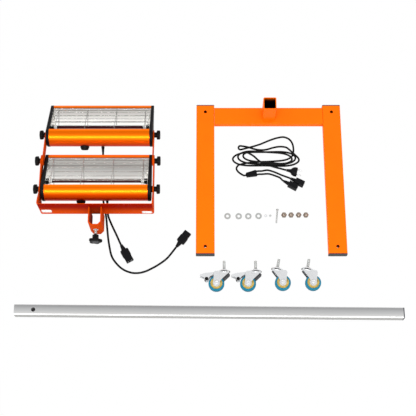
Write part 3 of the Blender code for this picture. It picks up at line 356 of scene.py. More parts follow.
# %% Hank route
hank_length, hank_middle = 0.264, np.array([0.2072, 0.2141, 0.0])
hank_layer, hank_turns, turn_points = 0.0077, 2.62, 24
hank_start_shares = (
    (-0.306, -0.288, 0.013), (-0.364, -0.247, 0.013), (-0.397, -0.192, 0.013), (-0.367, -0.137, 0.013),
    (-0.273, -0.110, 0.013), (-0.163, -0.093, 0.013), (-0.053, -0.085, 0.013), (0.056, -0.082, 0.013),
    (0.166, -0.074, 0.013), (0.260, -0.065, 0.013), (0.347, -0.040, 0.013), (0.407, 0.011, 0.013),
    (0.424, 0.105, 0.013), (0.410, 0.200, 0.013), (0.364, 0.268, 0.013), (0.286, 0.301, 0.013),
    (0.191, 0.286, 0.013), (0.071, 0.243, 0.013), (-0.048, 0.189, 0.013), (-0.159, 0.152, 0.013),
    (-0.254, 0.125, 0.014), (-0.325, 0.103, 0.018), (-0.367, 0.122, 0.028), (-0.325, 0.150, 0.038),
    (-0.231, 0.130, 0.044), (-0.138, 0.099, 0.044), (-0.044, 0.084, 0.044), (0.043, 0.093, 0.044),
    (0.129, 0.120, 0.044), (0.224, 0.137, 0.044), (0.318, 0.125, 0.044))
hank_end_shares = (
    (-0.215, 0.000, 0.115), (-0.150, -0.035, 0.100), (-0.085, -0.085, 0.070), (-0.010, -0.122, 0.035),
    (0.050, -0.137, 0.015), (0.110, -0.155, 0.013), (0.179, -0.177, 0.014), (0.235, -0.200, 0.036))
tail_shares = {
    1: ((-0.041, -0.277, 0.015), (0.060, -0.270, 0.013), (0.160, -0.305, 0.018), (0.220, -0.340, 0.036)),
    2: ((-0.041, -0.228, 0.015), (0.038, -0.213, 0.013), (0.139, -0.241, 0.013), (0.230, -0.286, 0.019),
        (0.295, -0.320, 0.036))}


def in_hank(shares):
    """Shares of the hank's length, from its middle, made metres."""
    return np.array(shares) * hank_length + hank_middle


def nearest(points, place):
    return int(np.argmin(np.linalg.norm(points - place, axis=1)))


angle = math.radians(12) - np.linspace(0, hank_turns * 2 * math.pi, round(hank_turns * turn_points) + 1)
turn = (angle[0] - angle) / (2 * math.pi)
lean = np.radians(-2 + 3.0 * np.sin(2.2 * turn))
oval_x = hank_length * (0.492 - 0.062 * turn) * np.cos(angle)
oval_y = hank_length * (0.150 - 0.018 * turn) * np.sin(angle) * (1 - 0.28 * np.sin(angle) ** 4)
turns = hank_middle + np.stack([
    oval_x * np.cos(lean) - oval_y * np.sin(lean) + hank_length * (0.005 + 0.010 * turn),
    oval_x * np.sin(lean) + oval_y * np.cos(lean) - hank_length * 0.055,
    supply_cord / 2 + hank_layer * (1 + turn)], axis=1)
split_start, split_along, split_left, split_length = plugs["lead_splitter"]
beginning = np.vstack([before_plug("lead_splitter", supply_cord)[::-1], in_hank(hank_start_shares)])
ending = np.vstack([in_hank(hank_end_shares), before_plug("mains_plug", supply_cord)])
before = smooth_route(np.vstack([beginning, turns[:2]]), 2.6 * supply_cord)
after = smooth_route(np.vstack([turns[-2:], ending]), route_step * supply_cord)
whole = np.vstack([before[:nearest(before, turns[0])], turns, after[nearest(after, turns[-1]) + 1:]])
routes["supply_lead"] = above_floor(whole, supply_cord)
for number, sign in ((1, 1), (2, -1)):
    leave = split_start - sign * tail_offset * split_left + split_along * (split_length + gap)
    route = np.vstack([leave, leave + split_along * supply_cord, in_hank(tail_shares[number]),
                       before_plug(f"connector_{number}", supply_cord)])
    routes[f"tail_lead_{number}"] = above_floor(smooth_route(route, route_step * supply_cord), supply_cord)
print({name: len(points) for name, points in routes.items()})

# %% [markdown]
# ## From route to cable
# A tube is a circle carried along the route. Its side is level, because no cable here stands
# upright. A second pass of the same cubic rounds the straight steps of the solid's route.

# %% Cable tubes


def tube(name, route, diameter, steps=14):
    """Circle of the cord's radius in the plane across the route: route + r (cos a * side + sin a * top)."""
    tangent = unit(np.gradient(route, axis=0))
    side = unit(np.cross(tangent, up))
    top = np.cross(side, tangent)
    a = full_turn(steps)[None, :, None]
    ring = side[:, None] * np.cos(a) + top[:, None] * np.sin(a)
    obj = grid_piece(name, route[:, None] + diameter / 2 * ring, wrap_v=True, close_ends=True, sharp=60)
    return obj, float(np.linalg.norm(np.diff(route, axis=0), axis=1).sum())


def bend_circle(a, b, c):
    """The centre of the circle through three points: with u and v from b to the others,
    b + ((u.u) v - (v.v) u) x (u x v) / 2 |u x v|^2."""
    u, v = a - b, c - b
    across = np.cross(u, v)
    return b + np.cross(u @ u * v - v @ v * u, across) / (2 * across @ across)


def round_tightest(route):
    """The route with two more points on its tightest bend's circle, one on each side of the middle point."""
    bends = [np.linalg.norm(bend_circle(a, b, c) - b) for a, b, c in zip(route, route[1:], route[2:])]
    tip = int(np.argmin(bends)) + 1
    centre = bend_circle(*route[tip - 1:tip + 2])
    out = (route[[tip - 1, tip + 1]] + route[tip]) / 2 - centre
    arc = centre + unit(out) * min(bends)
    return np.vstack([route[:tip], arc[0], route[tip], arc[1], route[tip + 1:]])


def soften(points, passes=2):
    """Each point becomes a quarter of the one before, half of itself and a quarter of the one after."""
    for _ in range(passes):
        points = np.vstack([points[:1], (points[:-2] + 2 * points[1:-1] + points[2:]) / 4, points[-1:]])
    return points


cord_sizes = {"lamp_lead_1": lamp_cord, "lamp_lead_2": lamp_cord, "supply_lead": supply_cord,
              "tail_lead_1": supply_cord, "tail_lead_2": supply_cord}
leads, lead_lengths, fine_routes = {}, {}, {}
routes["supply_lead"] = round_tightest(routes["supply_lead"])
for name, diameter in cord_sizes.items():
    fine = soften(smooth_route(routes[name], fine_step * diameter))
    fine_routes[name] = above_floor(fine, diameter) + kit_shift
    leads[name], lead_lengths[name] = tube(f"{name}_cable", fine_routes[name], diameter)
    print(name, f"{lead_lengths[name]:.3f} m")

# %% [markdown]
# ## Plug dress
# The moulded plugs are solids already. What a mould adds on the real ones is a ribbed tail that
# keeps the cable from kinking, bright pins, and grip ribs on the sides of the body. The two lamp
# leads leave their housings through a tapered rubber sleeve, which keeps them from bending sharply.

# %% Plug details


def ribbed_tail(name, cable, body, length, origin, direction):
    """A cone from the cable's radius to the body's, which swells at four ribs by a cut-off sine."""
    share = np.linspace(0, 1, 41)
    radius = cable + (body - cable) * share ** 1.3 + 0.7 * np.clip(np.sin(8 * math.pi * share), -0.4, 1)
    profile = [(0, 0), *zip(radius, share * length), (0, length)]
    return lathe(name, profile, 28, origin, direction, sharp=55)


trim = {name: {} for name in plugs}
sleeve_length = 21
for number in (1, 2):
    for name, (cable, body, share), rib, first, pitch, half in (
            (f"lamp_plug_{number}", (5.5, 9.2, 0.30), (0.0016, 0.6 * lamp_plug_height, 0.0018), 0.36, 0.0042, 0.0150),
            (f"connector_{number}", (4.8, 7.8, 0.36), (0.0014, 0.017, 0.0016), 0.44, 0.0040, 0.0102)):
        start, along, left, length = plugs[name]
        origin = start + kit_shift
        trim[name]["tail"] = ribbed_tail(f"{name}_tail", cable, body, 1000 * share * length, origin, along)
        if name.startswith("lamp"):
            nose = 0.3 * length
            trim[name]["pins"] = joined(f"{name}_pins", [
                rounded_block("pin", (0.0030, 0.0052, 0.86 * nose), 0.0006,
                              origin + along * (length - 0.92 * nose) + left * (i * 0.234 * lamp_plug_width)
                              + up * ((0.1 if i == 0 else -0.06) * lamp_plug_height), (left, up, along))
                for i in (-1, 0, 1)])
        trim[name]["grip"] = joined(f"{name}_grip", [
            rounded_block("rib", rib, 0.0004, origin + along * (first * length + pitch * i) + left * side * half,
                          (left, up, along)) for i in range(5) for _, side in sides])
    place, out = lead_exits[number]
    trim[f"lamp_plug_{number}"]["sleeve"] = ribbed_tail(f"lamp_lead_{number}_sleeve", 4.1, 6.2, sleeve_length,
                                                        place + out * (sleeve_length + 0.2) / 1000, -out)
start, along, left, length = plugs["mains_plug"]
origin, mains_radius, long = start + kit_shift, 18, 1000 * length
trim["mains_plug"]["tail"] = ribbed_tail("mains_plug_tail", 4.8, 7.0, 0.4 * long, origin, along)
pin = 0.94 * mains_radius
trim["mains_plug"]["pins"] = joined("mains_plug_pins", [
    lathe("pin", [(0, 0), (2.5, 0), (2.5, pin - 1.8), (1.8, pin - 0.4), (0, pin)], 20,
          origin + along * length + left * side * 0.53 * mains_radius / 1000, along) for _, side in sides])
trim["mains_plug"]["body"] = lathe("mains_plug_body", [(radius, share * long) for radius, share in (
    (0, 0.36), (7.2, 0.36), (8.5, 0.42), (12.8, 0.50), (15.4, 0.60), (17.1, 0.70), (17.8, 0.78), (17.8, 0.93),
    (17.2, 0.98), (16.4, 1), (0, 1))], 48, origin, along, wobble=lobed(2, 0.10, 12, mains_radius), sharp=50)
print("plug pieces:", sum(map(len, trim.values())))

# %% [markdown]
# ## The leads' table
# A table lists each lead's far end, how it lies and what sits on it. The supply lead is tied up in its hank,
# as it comes out of the box, and the other four lie loose. Each cable rides on the kit, and its solid is hidden.

# %% Lead facts
lead_facts = {"lamp_lead_1": ("plug", "loose", ["lamp_plug_1"]), "lamp_lead_2": ("plug", "loose", ["lamp_plug_2"]),
              "supply_lead": ("plug", "coiled", ["mains_plug", "lead_splitter"]),
              "tail_lead_1": ("connector", "loose", ["connector_1"]),
              "tail_lead_2": ("connector", "loose", ["connector_2"])}
for name, (far_end, lay, carried) in lead_facts.items():
    piece = leads[name]
    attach(piece, "kit")
    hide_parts(name)
print("declared", len(lead_facts), "leads")

# %% [markdown]
# ## Shared effects
# Two effects come back in many finishes, so each is a node group made once. One gives patches of
# two near colours, a gloss that varies with them and a fine grain. The other is a soft step along
# one direction of the piece's own frame, from which shaded places are made.

# %% Effect groups


def feed(tree, node, inputs):
    """Links each listed input to a socket, or gives it a constant."""
    for key, value in dict(inputs).items():
        socket = node.inputs[key]
        if isinstance(value, bpy.types.NodeSocket):
            tree.links.new(value, socket)
        else:
            socket.default_value = (*value, 1.0) if socket.type == "RGBA" else value
    return node


def new_node(tree, kind, inputs=(), **settings):
    """A shader node with its settings and its inputs."""
    node = tree.nodes.new(f"ShaderNode{kind}")
    for key, value in settings.items():
        setattr(node, key, value)
    return feed(tree, node, inputs)


def math_node(tree, operation, *values):
    return new_node(tree, "Math", enumerate(values), operation=operation).outputs[0]


def noise(tree, vector, scale, detail):
    inputs = {"Vector": vector, "Scale": scale, "Detail": detail, "Roughness": 0.55}
    return new_node(tree, "TexNoise", inputs).outputs["Fac"]


def mixed(tree, factor, a, b):
    return new_node(tree, "Mix", {0: factor, 6: a, 7: b}, data_type="RGBA").outputs[2]


def effect_group(name, ins, outs):
    """A node group with its sockets, and its entering and leaving nodes."""
    group = bpy.data.node_groups.new(name, "ShaderNodeTree")
    for way, sockets in (("INPUT", ins), ("OUTPUT", outs)):
        for label, kind in sockets.items():
            group.interface.new_socket(label, in_out=way, socket_type=f"NodeSocket{kind}")
    return group, group.nodes.new("NodeGroupInput").outputs, group.nodes.new("NodeGroupOutput")


surface_finish, enter, leave_node = effect_group(
    "surface_finish", {"Vector": "Vector", "Colour": "Color", "Second colour": "Color", "Patch scale": "Float",
                       "Grain scale": "Float", "Gloss low": "Float", "Gloss high": "Float"},
    {"Colour": "Color", "Roughness": "Float", "Height": "Float"})
patches = noise(surface_finish, enter["Vector"], enter["Patch scale"], 4.0)
spread = math_node(surface_finish, "SUBTRACT", enter["Gloss high"], enter["Gloss low"])
feed(surface_finish, leave_node, {
    "Colour": mixed(surface_finish, patches, enter["Colour"], enter["Second colour"]),
    "Roughness": math_node(surface_finish, "MULTIPLY_ADD", patches, spread, enter["Gloss low"]),
    "Height": noise(surface_finish, enter["Vector"], enter["Grain scale"], 2.0)})
directional_fade, enter, leave_node = effect_group(
    "directional_fade", {"Vector": "Vector", "Direction": "Vector", "Start": "Float", "End": "Float"},
    {"Mask": "Float"})
along_way = new_node(directional_fade, "VectorMath", {0: enter["Vector"], 1: enter["Direction"]},
                     operation="DOT_PRODUCT")
ramp = new_node(directional_fade, "MapRange", {
    "Value": along_way.outputs["Value"], "From Min": enter["Start"], "From Max": enter["End"]},
                interpolation_type="SMOOTHSTEP")
feed(directional_fade, leave_node, {"Mask": ramp.outputs[0]})
print("groups:", [g.name for g in bpy.data.node_groups])

# %% [markdown]
# ## Finishes
# A finish is a Principled shader fed by the shared group. What is the same all over, such as how
# metallic it is, sits on the shader's own socket. Stretching the coordinates makes drawn lines.

# %% Finish maker


def object_place(tree):
    return new_node(tree, "TexCoord").outputs["Object"]


def new_material(name):
    material = bpy.data.materials.new(name)
    material.use_nodes = True
    return material, material.node_tree


def finish(name, colour, second, gloss, metallic, patch, grain, bump, specular, ior, stretch=(1, 1, 1)):
    """One material: patches of two near colours, gloss that varies with them, and a grain bump."""
    material, tree = new_material(name)
    place = new_node(tree, "Mapping", {"Vector": object_place(tree), "Scale": stretch})
    surface = new_node(tree, "Group", {
        "Vector": place.outputs["Vector"], "Colour": colour, "Second colour": second, "Patch scale": patch,
        "Grain scale": grain, "Gloss low": gloss[0], "Gloss high": gloss[1]}, node_tree=surface_finish).outputs
    relief = new_node(tree, "Bump", {"Strength": bump, "Distance": 0.0004, "Height": surface["Height"]})
    feed(tree, tree.nodes["Principled BSDF"], {
        "Base Color": surface["Colour"], "Roughness": surface["Roughness"], "Normal": relief.outputs["Normal"],
        "Metallic": metallic, "Specular IOR Level": specular, "IOR": ior})
    return material


# colour, second colour, gloss range, metallic, patch scale, grain scale, bump, specular level, IOR, stretch
finish_facts = {
    "frame_orange": ((1.0, 0.150, 0.001), (0.95, 0.132, 0.001), (0.34, 0.44), 0, 18, 650, 0.12, 0.3, 1.2),
    "housing_orange": ((1.0, 0.185, 0.0), (0.96, 0.160, 0.0), (0.29, 0.33), 0.75, 18, 1400, 0.006, 0.4, 1.3),
    "yoke_red": ((0.60, 0.060, 0.001), (0.53, 0.050, 0.001), (0.42, 0.54), 0, 18, 650, 0.12, 0.1, 1.1),
    "knob_black": ((0.003, 0.003, 0.003), (0.005, 0.005, 0.005), (0.35, 0.5), 0, 18, 1600, 0.1, 0.1, 1.5),
    "face_grey": ((0.035, 0.036, 0.040), (0.050, 0.052, 0.056), (0.45, 0.6), 0, 18, 1600, 0.15, 0.3, 1.5),
    "cap_black": ((0.003, 0.003, 0.004), (0.005, 0.005, 0.006), (0.42, 0.58), 0, 18, 1600, 0.15, 0.1, 1.5),
    "cap_slate": ((0.012, 0.014, 0.020), (0.022, 0.024, 0.032), (0.4, 0.55), 0, 18, 1600, 0.15, 0.3, 1.5),
    "cable_black": ((0.002, 0.002, 0.002), (0.004, 0.004, 0.004), (0.42, 0.56), 0, 18, 2200, 0.12, 0.1, 1.5),
    "pole_aluminium": ((0.72, 0.725, 0.73), (0.64, 0.645, 0.65), (0.30, 0.42), 1, 30, 900, 0.08, 0.4, 1.5,
                       (0.04, 1, 1)),
    "reflector_mirror": ((1.0, 0.99, 0.97), (0.72, 0.70, 0.66), (0.06, 0.14), 1, 90, 500, 0.03, 0.4, 1.5,
                         (0.05, 1, 1)),
    "plated_zinc": ((0.72, 0.73, 0.74), (0.60, 0.61, 0.62), (0.26, 0.40), 0.55, 60, 1500, 0.05, 0.4, 1.5),
    "bright_wire": ((0.50, 0.49, 0.47), (0.40, 0.39, 0.37), (0.2, 0.3), 1, 80, 1500, 0.04, 0.4, 1.5),
    "thread_steel": ((0.46, 0.47, 0.46), (0.38, 0.39, 0.38), (0.45, 0.55), 0.6, 90, 1500, 0.04, 0.4, 1.5),
    "brake_grey": ((0.70, 0.71, 0.72), (0.60, 0.61, 0.62), (0.3, 0.42), 0.5, 50, 1200, 0.08, 0.4, 1.5),
    "tyre_teal": ((0.004, 0.175, 0.275), (0.003, 0.140, 0.225), (0.45, 0.6), 0, 18, 1600, 0.12, 0.25, 1.5),
    "hub_ochre": ((0.50, 0.36, 0.09), (0.43, 0.31, 0.075), (0.4, 0.52), 0, 18, 1600, 0.1, 0.3, 1.5),
    "ruby_glass": ((0.045, 0.0, 0.004), (0.030, 0.0, 0.003), (0.10, 0.18), 0, 18, 700, 0.02, 0.18, 1.5),
    "ceramic_white": ((0.86, 0.86, 0.84), (0.80, 0.80, 0.78), (0.35, 0.5), 0, 18, 1800, 0.1, 0.4, 1.5),
    "plate_white": ((0.82, 0.82, 0.81), (0.74, 0.74, 0.73), (0.3, 0.4), 0, 18, 1200, 0.04, 0.4, 1.5),
    "bronze_steel": ((0.36, 0.30, 0.25), (0.26, 0.21, 0.17), (0.25, 0.4), 1, 90, 1500, 0.06, 0.4, 1.5)}
finishes = {name: finish(name, *facts) for name, facts in finish_facts.items()}
print("finishes:", len(finishes))

# %% [markdown]
# ## Masks
# A mask is 1 where another colour lies over a finish and 0 elsewhere. Each is measured in the piece's
# own frame: along a direction, between two distances, round upright holes or inside a square socket.

# %% Masks


def fade_mask(tree, direction, start, end):
    """0 before start and 1 after end, measured in metres along a direction of the piece's own frame."""
    inputs = {"Vector": object_place(tree), "Direction": direction, "Start": start, "End": end}
    return new_node(tree, "Group", inputs, node_tree=directional_fade).outputs["Mask"]


def both(tree, first, *others):
    """The product of the masks: 1 only where all of them are."""
    for other in others:
        first = math_node(tree, "MULTIPLY", first, other)
    return first


def between(tree, low, high, soft):
    """1 between two distances along Y, with soft ends."""
    return both(tree, fade_mask(tree, (0, 1, 0), low - soft, low + soft),
                fade_mask(tree, (0, -1, 0), -high - soft, -high + soft))


def either(tree, first, second):
    """1 between the first two distances along Y, or between the second two."""
    return math_node(tree, "MAXIMUM", between(tree, *first), between(tree, *second))


def hole_mask(tree, holes, radius):
    """1 within a radius of the nearest hole's upright axis."""
    flat = new_node(tree, "VectorMath", {0: object_place(tree), 1: (1, 1, 0)}, operation="MULTIPLY").outputs[0]
    least = 1.0
    for x, y in holes:
        away = new_node(tree, "VectorMath", {0: flat, 1: (x, y, 0)}, operation="DISTANCE")
        least = math_node(tree, "MINIMUM", away.outputs["Value"], least)
    return math_node(tree, "LESS_THAN", least, radius)


def socket_mask(tree, middle, half, top, depth):
    """The square socket's inside faces, from a half at the rim to 1 at a depth."""
    edge = 0.0001
    walls = [(way, np.dot(way[:2], middle) - half) for way in ((1, 0, 0), (0, 1, 0), (-1, 0, 0), (0, -1, 0))]
    return both(tree, *(fade_mask(tree, way, level - edge, level + edge) for way, level in walls),
                fade_mask(tree, (0, 0, -1), -top - depth, depth - top))


print("masks ready")

# %% [markdown]
# ## Painted shade and light
# The stem holes and the socket are painted dark inside, as shade. The yoke's front carries a painted shadow of
# the housing, and the housings' lower flanks a painted shade. Each reflector has a band of painted darker
# reflection, and the drawn pole has painted shade on its far side and front and a painted highlight on its near side.

# %% Overlays and slots


def overlay(name, value, make_mask, *facts, socket="Base Color"):
    """Lays another colour or roughness over the finish where the mask, made in the material's own tree, is 1."""
    tree = finishes[name].node_tree
    shader = tree.nodes["Principled BSDF"]
    under = shader.inputs[socket].links[0].from_socket
    feed(tree, shader, {socket: mixed(tree, make_mask(tree, *facts), under, value)})


stem_holes = [(x, y) for x in (-0.014, 0.466) for y in (-0.153838, 0.383162)]
# painted shade: the stem holes' walls and a thin rim round them are painted near black, as shade inside the holes
overlay("frame_orange", (0.004, 0.002, 0.002), hole_mask, stem_holes, 0.0062)
# painted shade: the square socket's inside faces are painted dark, darker further down
overlay("frame_orange", (0.003, 0.0004, 0.0), socket_mask, (0.226, 0.371662), 0.0213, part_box("crossbar")[1][2], 0.026)
# painted shadow: the housing's shadow on the yoke's front face, darker towards its top
overlay("yoke_red", (0.24, 0.004, 0.0), lambda tree: both(
    tree, between(tree, -0.0297, -0.0265, 0.0008), fade_mask(tree, (0, 0, 1), 0.035, 0.105)))
# painted shade: the housings' lower flanks are painted a deeper red, darker towards the bottom
overlay("housing_orange", (0.72, 0.040, 0.0), lambda tree: both(
    tree, fade_mask(tree, (0, -0.135, -1), -0.1135, -0.0710), either(tree, (-0.10, 0.11, 0.01), (0.20, 0.34, 0.01))))
# painted reflection: each reflector has a greyer band that stands in for a darker reflection
overlay("reflector_mirror", (0.50, 0.485, 0.46), either, (0.135, 0.22, 0.025), (0.365, 0.50, 0.025))
pole_tilt = math.radians(0.5)
pole_across = np.array([math.sin(pole_tilt), math.cos(pole_tilt), 0])
pole_line = float(np.array(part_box("pole")).mean(axis=0) @ pole_across)
# painted light and shade on the pole: darker towards its far side, lighter towards its near side, and a darker front
# face
for sign, start, end, colour in ((1, 0.0, 0.019, (0.44, 0.44, 0.445)), (-1, 0.004, -0.019, (0.96, 0.96, 0.95)),
                                 (-1, -0.0185, -0.0187, (0.46, 0.46, 0.45))):
    overlay("pole_aluminium", colour, fade_mask, sign * pole_across, sign * (pole_line + start),
            sign * (pole_line + end))
overlay("pole_aluminium", (0.85, 0.85, 0.85), fade_mask, -pole_across, 0.0135 - pole_line, 0.0150 - pole_line,
        socket="Roughness")
finish_of = {"orange": "frame_orange", "red": "yoke_red", "alu": "pole_aluminium", "mirror": "reflector_mirror",
             "ruby": "ruby_glass", "steel": "bright_wire", "slate": "cap_slate", "zinc": "plated_zinc",
             "tyre": "tyre_teal", "grey": "brake_grey", "cord": "cable_black", "black": "cap_black"}
for row in frame["record"]["subparts"]:
    for holder in nodes[row["node"]].material_slots:
        holder.material = finishes[finish_of[row["material_slot"]]]
print("finishes in slots:", len(finish_of))

# %% [markdown]
# ## Dressing a piece
# Every new piece gets a finish, rides on the body that carries it, and hides the solids it stands for.

# %% Dress helper


def dress(piece, finish_name, body, slot_name, *stands_for):
    piece.data.materials.append(finishes[finish_name])
    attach(piece, body)
    if stands_for:
        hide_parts(*stands_for)


def turned(name, profile, steps, origin, direction, finish_name, body, slot_name, *stands_for, **shape):
    """A lathe piece that is dressed at once."""
    dress(lathe(name, profile, steps, origin, direction, **shape), finish_name, body, slot_name, *stands_for)


for piece in leads.values():
    piece.data.materials.append(finishes["cable_black"])
for name, parts in trim.items():
    for what, piece in parts.items():
        dress(piece, *(("plated_zinc", "kit", "zinc") if what == "pins" else ("cap_black", "kit", "black")),
              *([name] if what == "body" else []))
print("dressed the leads and plugs")

# %% [markdown]
# ## Cassette housings
# A housing is one bent sheet: a flat flank from the far lip, a round back and a small near lip.
# Its section is a path, offset by the sheet's thickness, and drawn out along the head's width.

# %% Housings and reflectors
opening_rise, opening_far, opening_near = 0.0371, 0.1418, -0.0219
cassette_length, cap_thickness, sheet = 0.396, 0.011, 0.0015
inner_half = cassette_length / 2 - cap_thickness - gap
tilts = {"lower": math.radians(23), "upper": math.radians(30)}


def cassette_axes(name):
    """The cassette's pivot, and its u, w and width axes."""
    tilt = tilts[name]
    pivot = np.array([head_x, pivot_y[name], pivot_z[name]]) + kit_shift
    u_axis, w_axis = (0, math.cos(tilt), -math.sin(tilt)), (0, math.sin(tilt), math.cos(tilt))
    return pivot, (u_axis, w_axis, x_way)


def offset_path(path, distance):
    """Each point moved across the path by the distance, along the mean of its neighbours' normals."""
    step = unit(np.gradient(path, axis=0))
    return path + distance * np.stack([-step[:, 1], step[:, 0]], axis=1)


def drawn_band(name, path, thickness, stations, origin, axes, sharp=32):
    """A closed band, path out and its offset back, repeated at each station along the third axis."""
    band = np.vstack([path, offset_path(path, thickness)[::-1]])
    grid = np.stack([np.column_stack([band, np.full(len(band), x)]) for x in stations])
    piece = grid_piece(name, placed(grid, origin, axes), wrap_v=True, sharp=sharp)
    count = len(path)
    bm = bmesh.new()
    bm.from_mesh(piece.data)
    bm.verts.ensure_lookup_table()
    for row in (0, len(stations) - 1):
        ring = [bm.verts[row * 2 * count + i] for i in range(2 * count)]
        for i in range(count - 1):
            bm.faces.new([ring[i], ring[i + 1], ring[2 * count - 2 - i], ring[2 * count - 1 - i]])
    bmesh.ops.recalc_face_normals(bm, faces=bm.faces)
    bm.to_mesh(piece.data)
    bm.free()
    return piece


lip, near_lip, cap_margin = 0.012, 0.009, 0.001
tip_angle = math.atan2(opening_rise, opening_far) - math.acos(round_radius / math.hypot(opening_far, opening_rise))
near_angle = math.atan2(math.sqrt(round_radius ** 2 - opening_near ** 2), opening_near) - 2 * math.pi
back_angles = np.linspace(tip_angle, near_angle, 73)
round_back = round_radius * np.stack([np.cos(back_angles), np.sin(back_angles)], axis=1)
shell_path = np.vstack([[opening_far - lip, opening_rise], [opening_far - 0.0012, opening_rise],
                        [opening_far, opening_rise - 0.0008], round_back, round_back[-1] + [near_lip, 0.0]])
mirror_shares = [(-0.45, 0.745), (-0.42, 0.52), (-0.30, 0.24), (-0.09, 0.05), (0.20, -0.05), (0.50, -0.07),
                 (0.85, -0.02), (1.30, 0.11), (1.80, 0.30), (2.42, 0.55), (3.00, 0.750)]
mirror_path = smooth_route(np.column_stack([mirror_shares, np.zeros(11)]) * round_radius, 0.004)[:, :2]
cassettes = {name: cassette_axes(name) for name in tilts}
ends = (-inner_half, inner_half)
for name, (pivot, axes) in cassettes.items():
    dress(drawn_band(f"{name}_housing", shell_path, -sheet, ends, pivot, axes),
          "housing_orange", f"{name}_cassette", "orange", f"{name}_shell")
    dress(drawn_band(f"{name}_trough", mirror_path, 0.0008, ends, pivot, axes),
          "reflector_mirror", f"{name}_cassette", "mirror", f"{name}_reflector")
print("section points", len(shell_path), len(mirror_path))

# %% [markdown]
# ## End plates of the reflectors
# At both ends a bright plate leans outwards from the trough's floor to its rim, so that light which
# would be lost on the caps comes out too. Each plate is the trough's own curve joined to a level rim.

# %% End plates
plate_lean, plate_sheet, plate_lift, plate_gap = 0.50, 0.0006, 0.0014, 0.0012
rim_w = 0.72 * round_radius
low = offset_path(mirror_path[1:-1], plate_lift)
w = low[None, :, 1] + np.linspace(0, 1, 7)[:, None] * np.maximum(rim_w - low[None, :, 1], 0.0002)
u = np.broadcast_to(low[None, :, 0], w.shape)
x = inner_half - plate_gap - plate_lean * np.maximum(rim_w - w, 0)
for name, cassette in cassettes.items():
    for side, sign in sides:
        inside, outside = (np.stack([u, w, sign * far], axis=-1) for far in (x, x + plate_sheet))
        plate = grid_piece(f"{name}_end_plate_{side}",
                           placed(np.concatenate([inside, outside[::-1]]), *cassette), wrap_u=True)
        dress(plate, "reflector_mirror", f"{name}_cassette", "mirror")
print("end plates lean", round(plate_lean * rim_w * 1000, 1), "mm")

# %% [markdown]
# ## Cassette caps
# Each moulded cap follows the housing's section a millimetre proud of it. Its outer corner is
# rounded by shrinking the outline a little over the last steps. A square holder inside it grips the
# tube, and a round boss outside it carries the knob's screw.

# %% Caps, holders and bosses
tube_u, tube_w, holder_side, holder_reach = 0.019, 0.022, 0.0155, 0.014
boss_end = {"lower": 203.7, "upper": 199.6}
cap_back = round_back * (round_radius + cap_margin) / round_radius
cap_back[:, 0] = np.minimum(cap_back[:, 0], opening_far + 0.0003)
cap_rise = opening_rise + cap_margin
cap_outline = np.vstack([[opening_far - 0.004, cap_rise], [opening_far - 0.0008, cap_rise],
                         [opening_far - 0.0001, opening_rise], [opening_far + 0.0003, opening_rise - 0.0012],
                         cap_back, [opening_near - 0.001, cap_rise]])
outer_face = cassette_length / 2
cap_inside = outer_face - cap_thickness
to_middle = unit(cap_outline.mean(axis=0) - cap_outline)
bevel = ((cap_inside, 0.0006), (cap_inside + 0.0006, 0.0), (outer_face - 0.0024, 0.0), (outer_face - 0.0010, 0.0006),
         (outer_face - 0.0003, 0.0016), (outer_face, 0.0030))
screw_profile = [(0, 197.6), (3, 197.6), (3, 198.4), (2.2, 199), (1.1, 199), (0.9, 198.2), (0, 198)]
for name, (pivot, axes) in cassettes.items():
    end = boss_end[name]
    for side, sign in sides:
        grid = np.stack([np.column_stack([cap_outline + inset * to_middle, np.full(len(cap_outline), sign * x)])
                         for x, inset in bevel])
        way = sign * x_way
        plate = grid_piece("plate", placed(grid, pivot, axes), wrap_v=True, close_ends=True)
        holder = rounded_block("holder", (holder_side, holder_side, holder_reach + 0.004), 0.0008,
                               placed((tube_u, tube_w, sign * (cap_inside - holder_reach)), pivot, axes),
                               (*axes[:2], way))
        boss = lathe("boss", [(0, 196), (12, 196), (12, end - 0.6), (11.4, end), (4.3, end), (4.3, end - 8.3),
                              (0, end - 8.3)], 40, pivot, way)
        screws = [lathe("screw", screw_profile, 24, placed((u, w, 0), pivot, axes), way)
                  for u, w in ((0.030, 0.026), (-0.026, -0.016), (0.112, 0.029))]
        dress(joined(f"{name}_cap_{side}_moulding", [plate, holder, boss]),
              "cap_black", f"{name}_cassette", "black", f"{name}_cap_{side}")
        dress(joined(f"{name}_cap_screws_{side}", screws), "bronze_steel", f"{name}_cassette", "steel")
print("caps follow", len(cap_outline), "outline points")

# %% [markdown]
# ## Tubes
# The ruby quartz tube has a dark pinched tip at each end and a white ceramic sleeve before the
# holder, where its coil starts.

# %% Ruby tubes
tube_half = 1000 * (cap_inside - holder_reach) + 10
sleeve_start, tip_gap = cap_inside - holder_reach - 0.0110, 0.0054
glass_profile = [(0, -tube_half), (5.2, -tube_half), (5.8, 0.6 - tube_half),
                 *[(5.8, x) for x in np.linspace(-150, 150, 13)], (5.8, tube_half - 0.6), (5.2, tube_half),
                 (0, tube_half)]
for name, (pivot, axes) in cassettes.items():
    middle = placed((tube_u, tube_w, 0), pivot, axes)
    cassette = f"{name}_cassette"
    turned(f"{name}_quartz", glass_profile, 32, middle, x_way, "ruby_glass", cassette, "ruby", f"{name}_tube")
    for side, sign in sides:
        way = sign * x_way
        turned(f"{name}_ceramic_{side}", [(5.9, 0), (6.4, 0.3), (6.6, 1.2), (6.6, 9.8), (6.3, 10.7), (5.9, 10.9)], 32,
               middle + sleeve_start * way, way, "ceramic_white", cassette, "ruby")
        turned(f"{name}_tube_tip_{side}", [(5.9, 0), (6.1, 0.4), (6.1, 4.8), (5.9, 5.2)], 32,
               middle + (sleeve_start - tip_gap) * way, way, "knob_black", cassette, "black")
print("tube length", round(2 * tube_half, 1), "mm")

# %% [markdown]
# ## Guards
# Six long wires are welded across four short ones, which tuck under the housing's two lips.

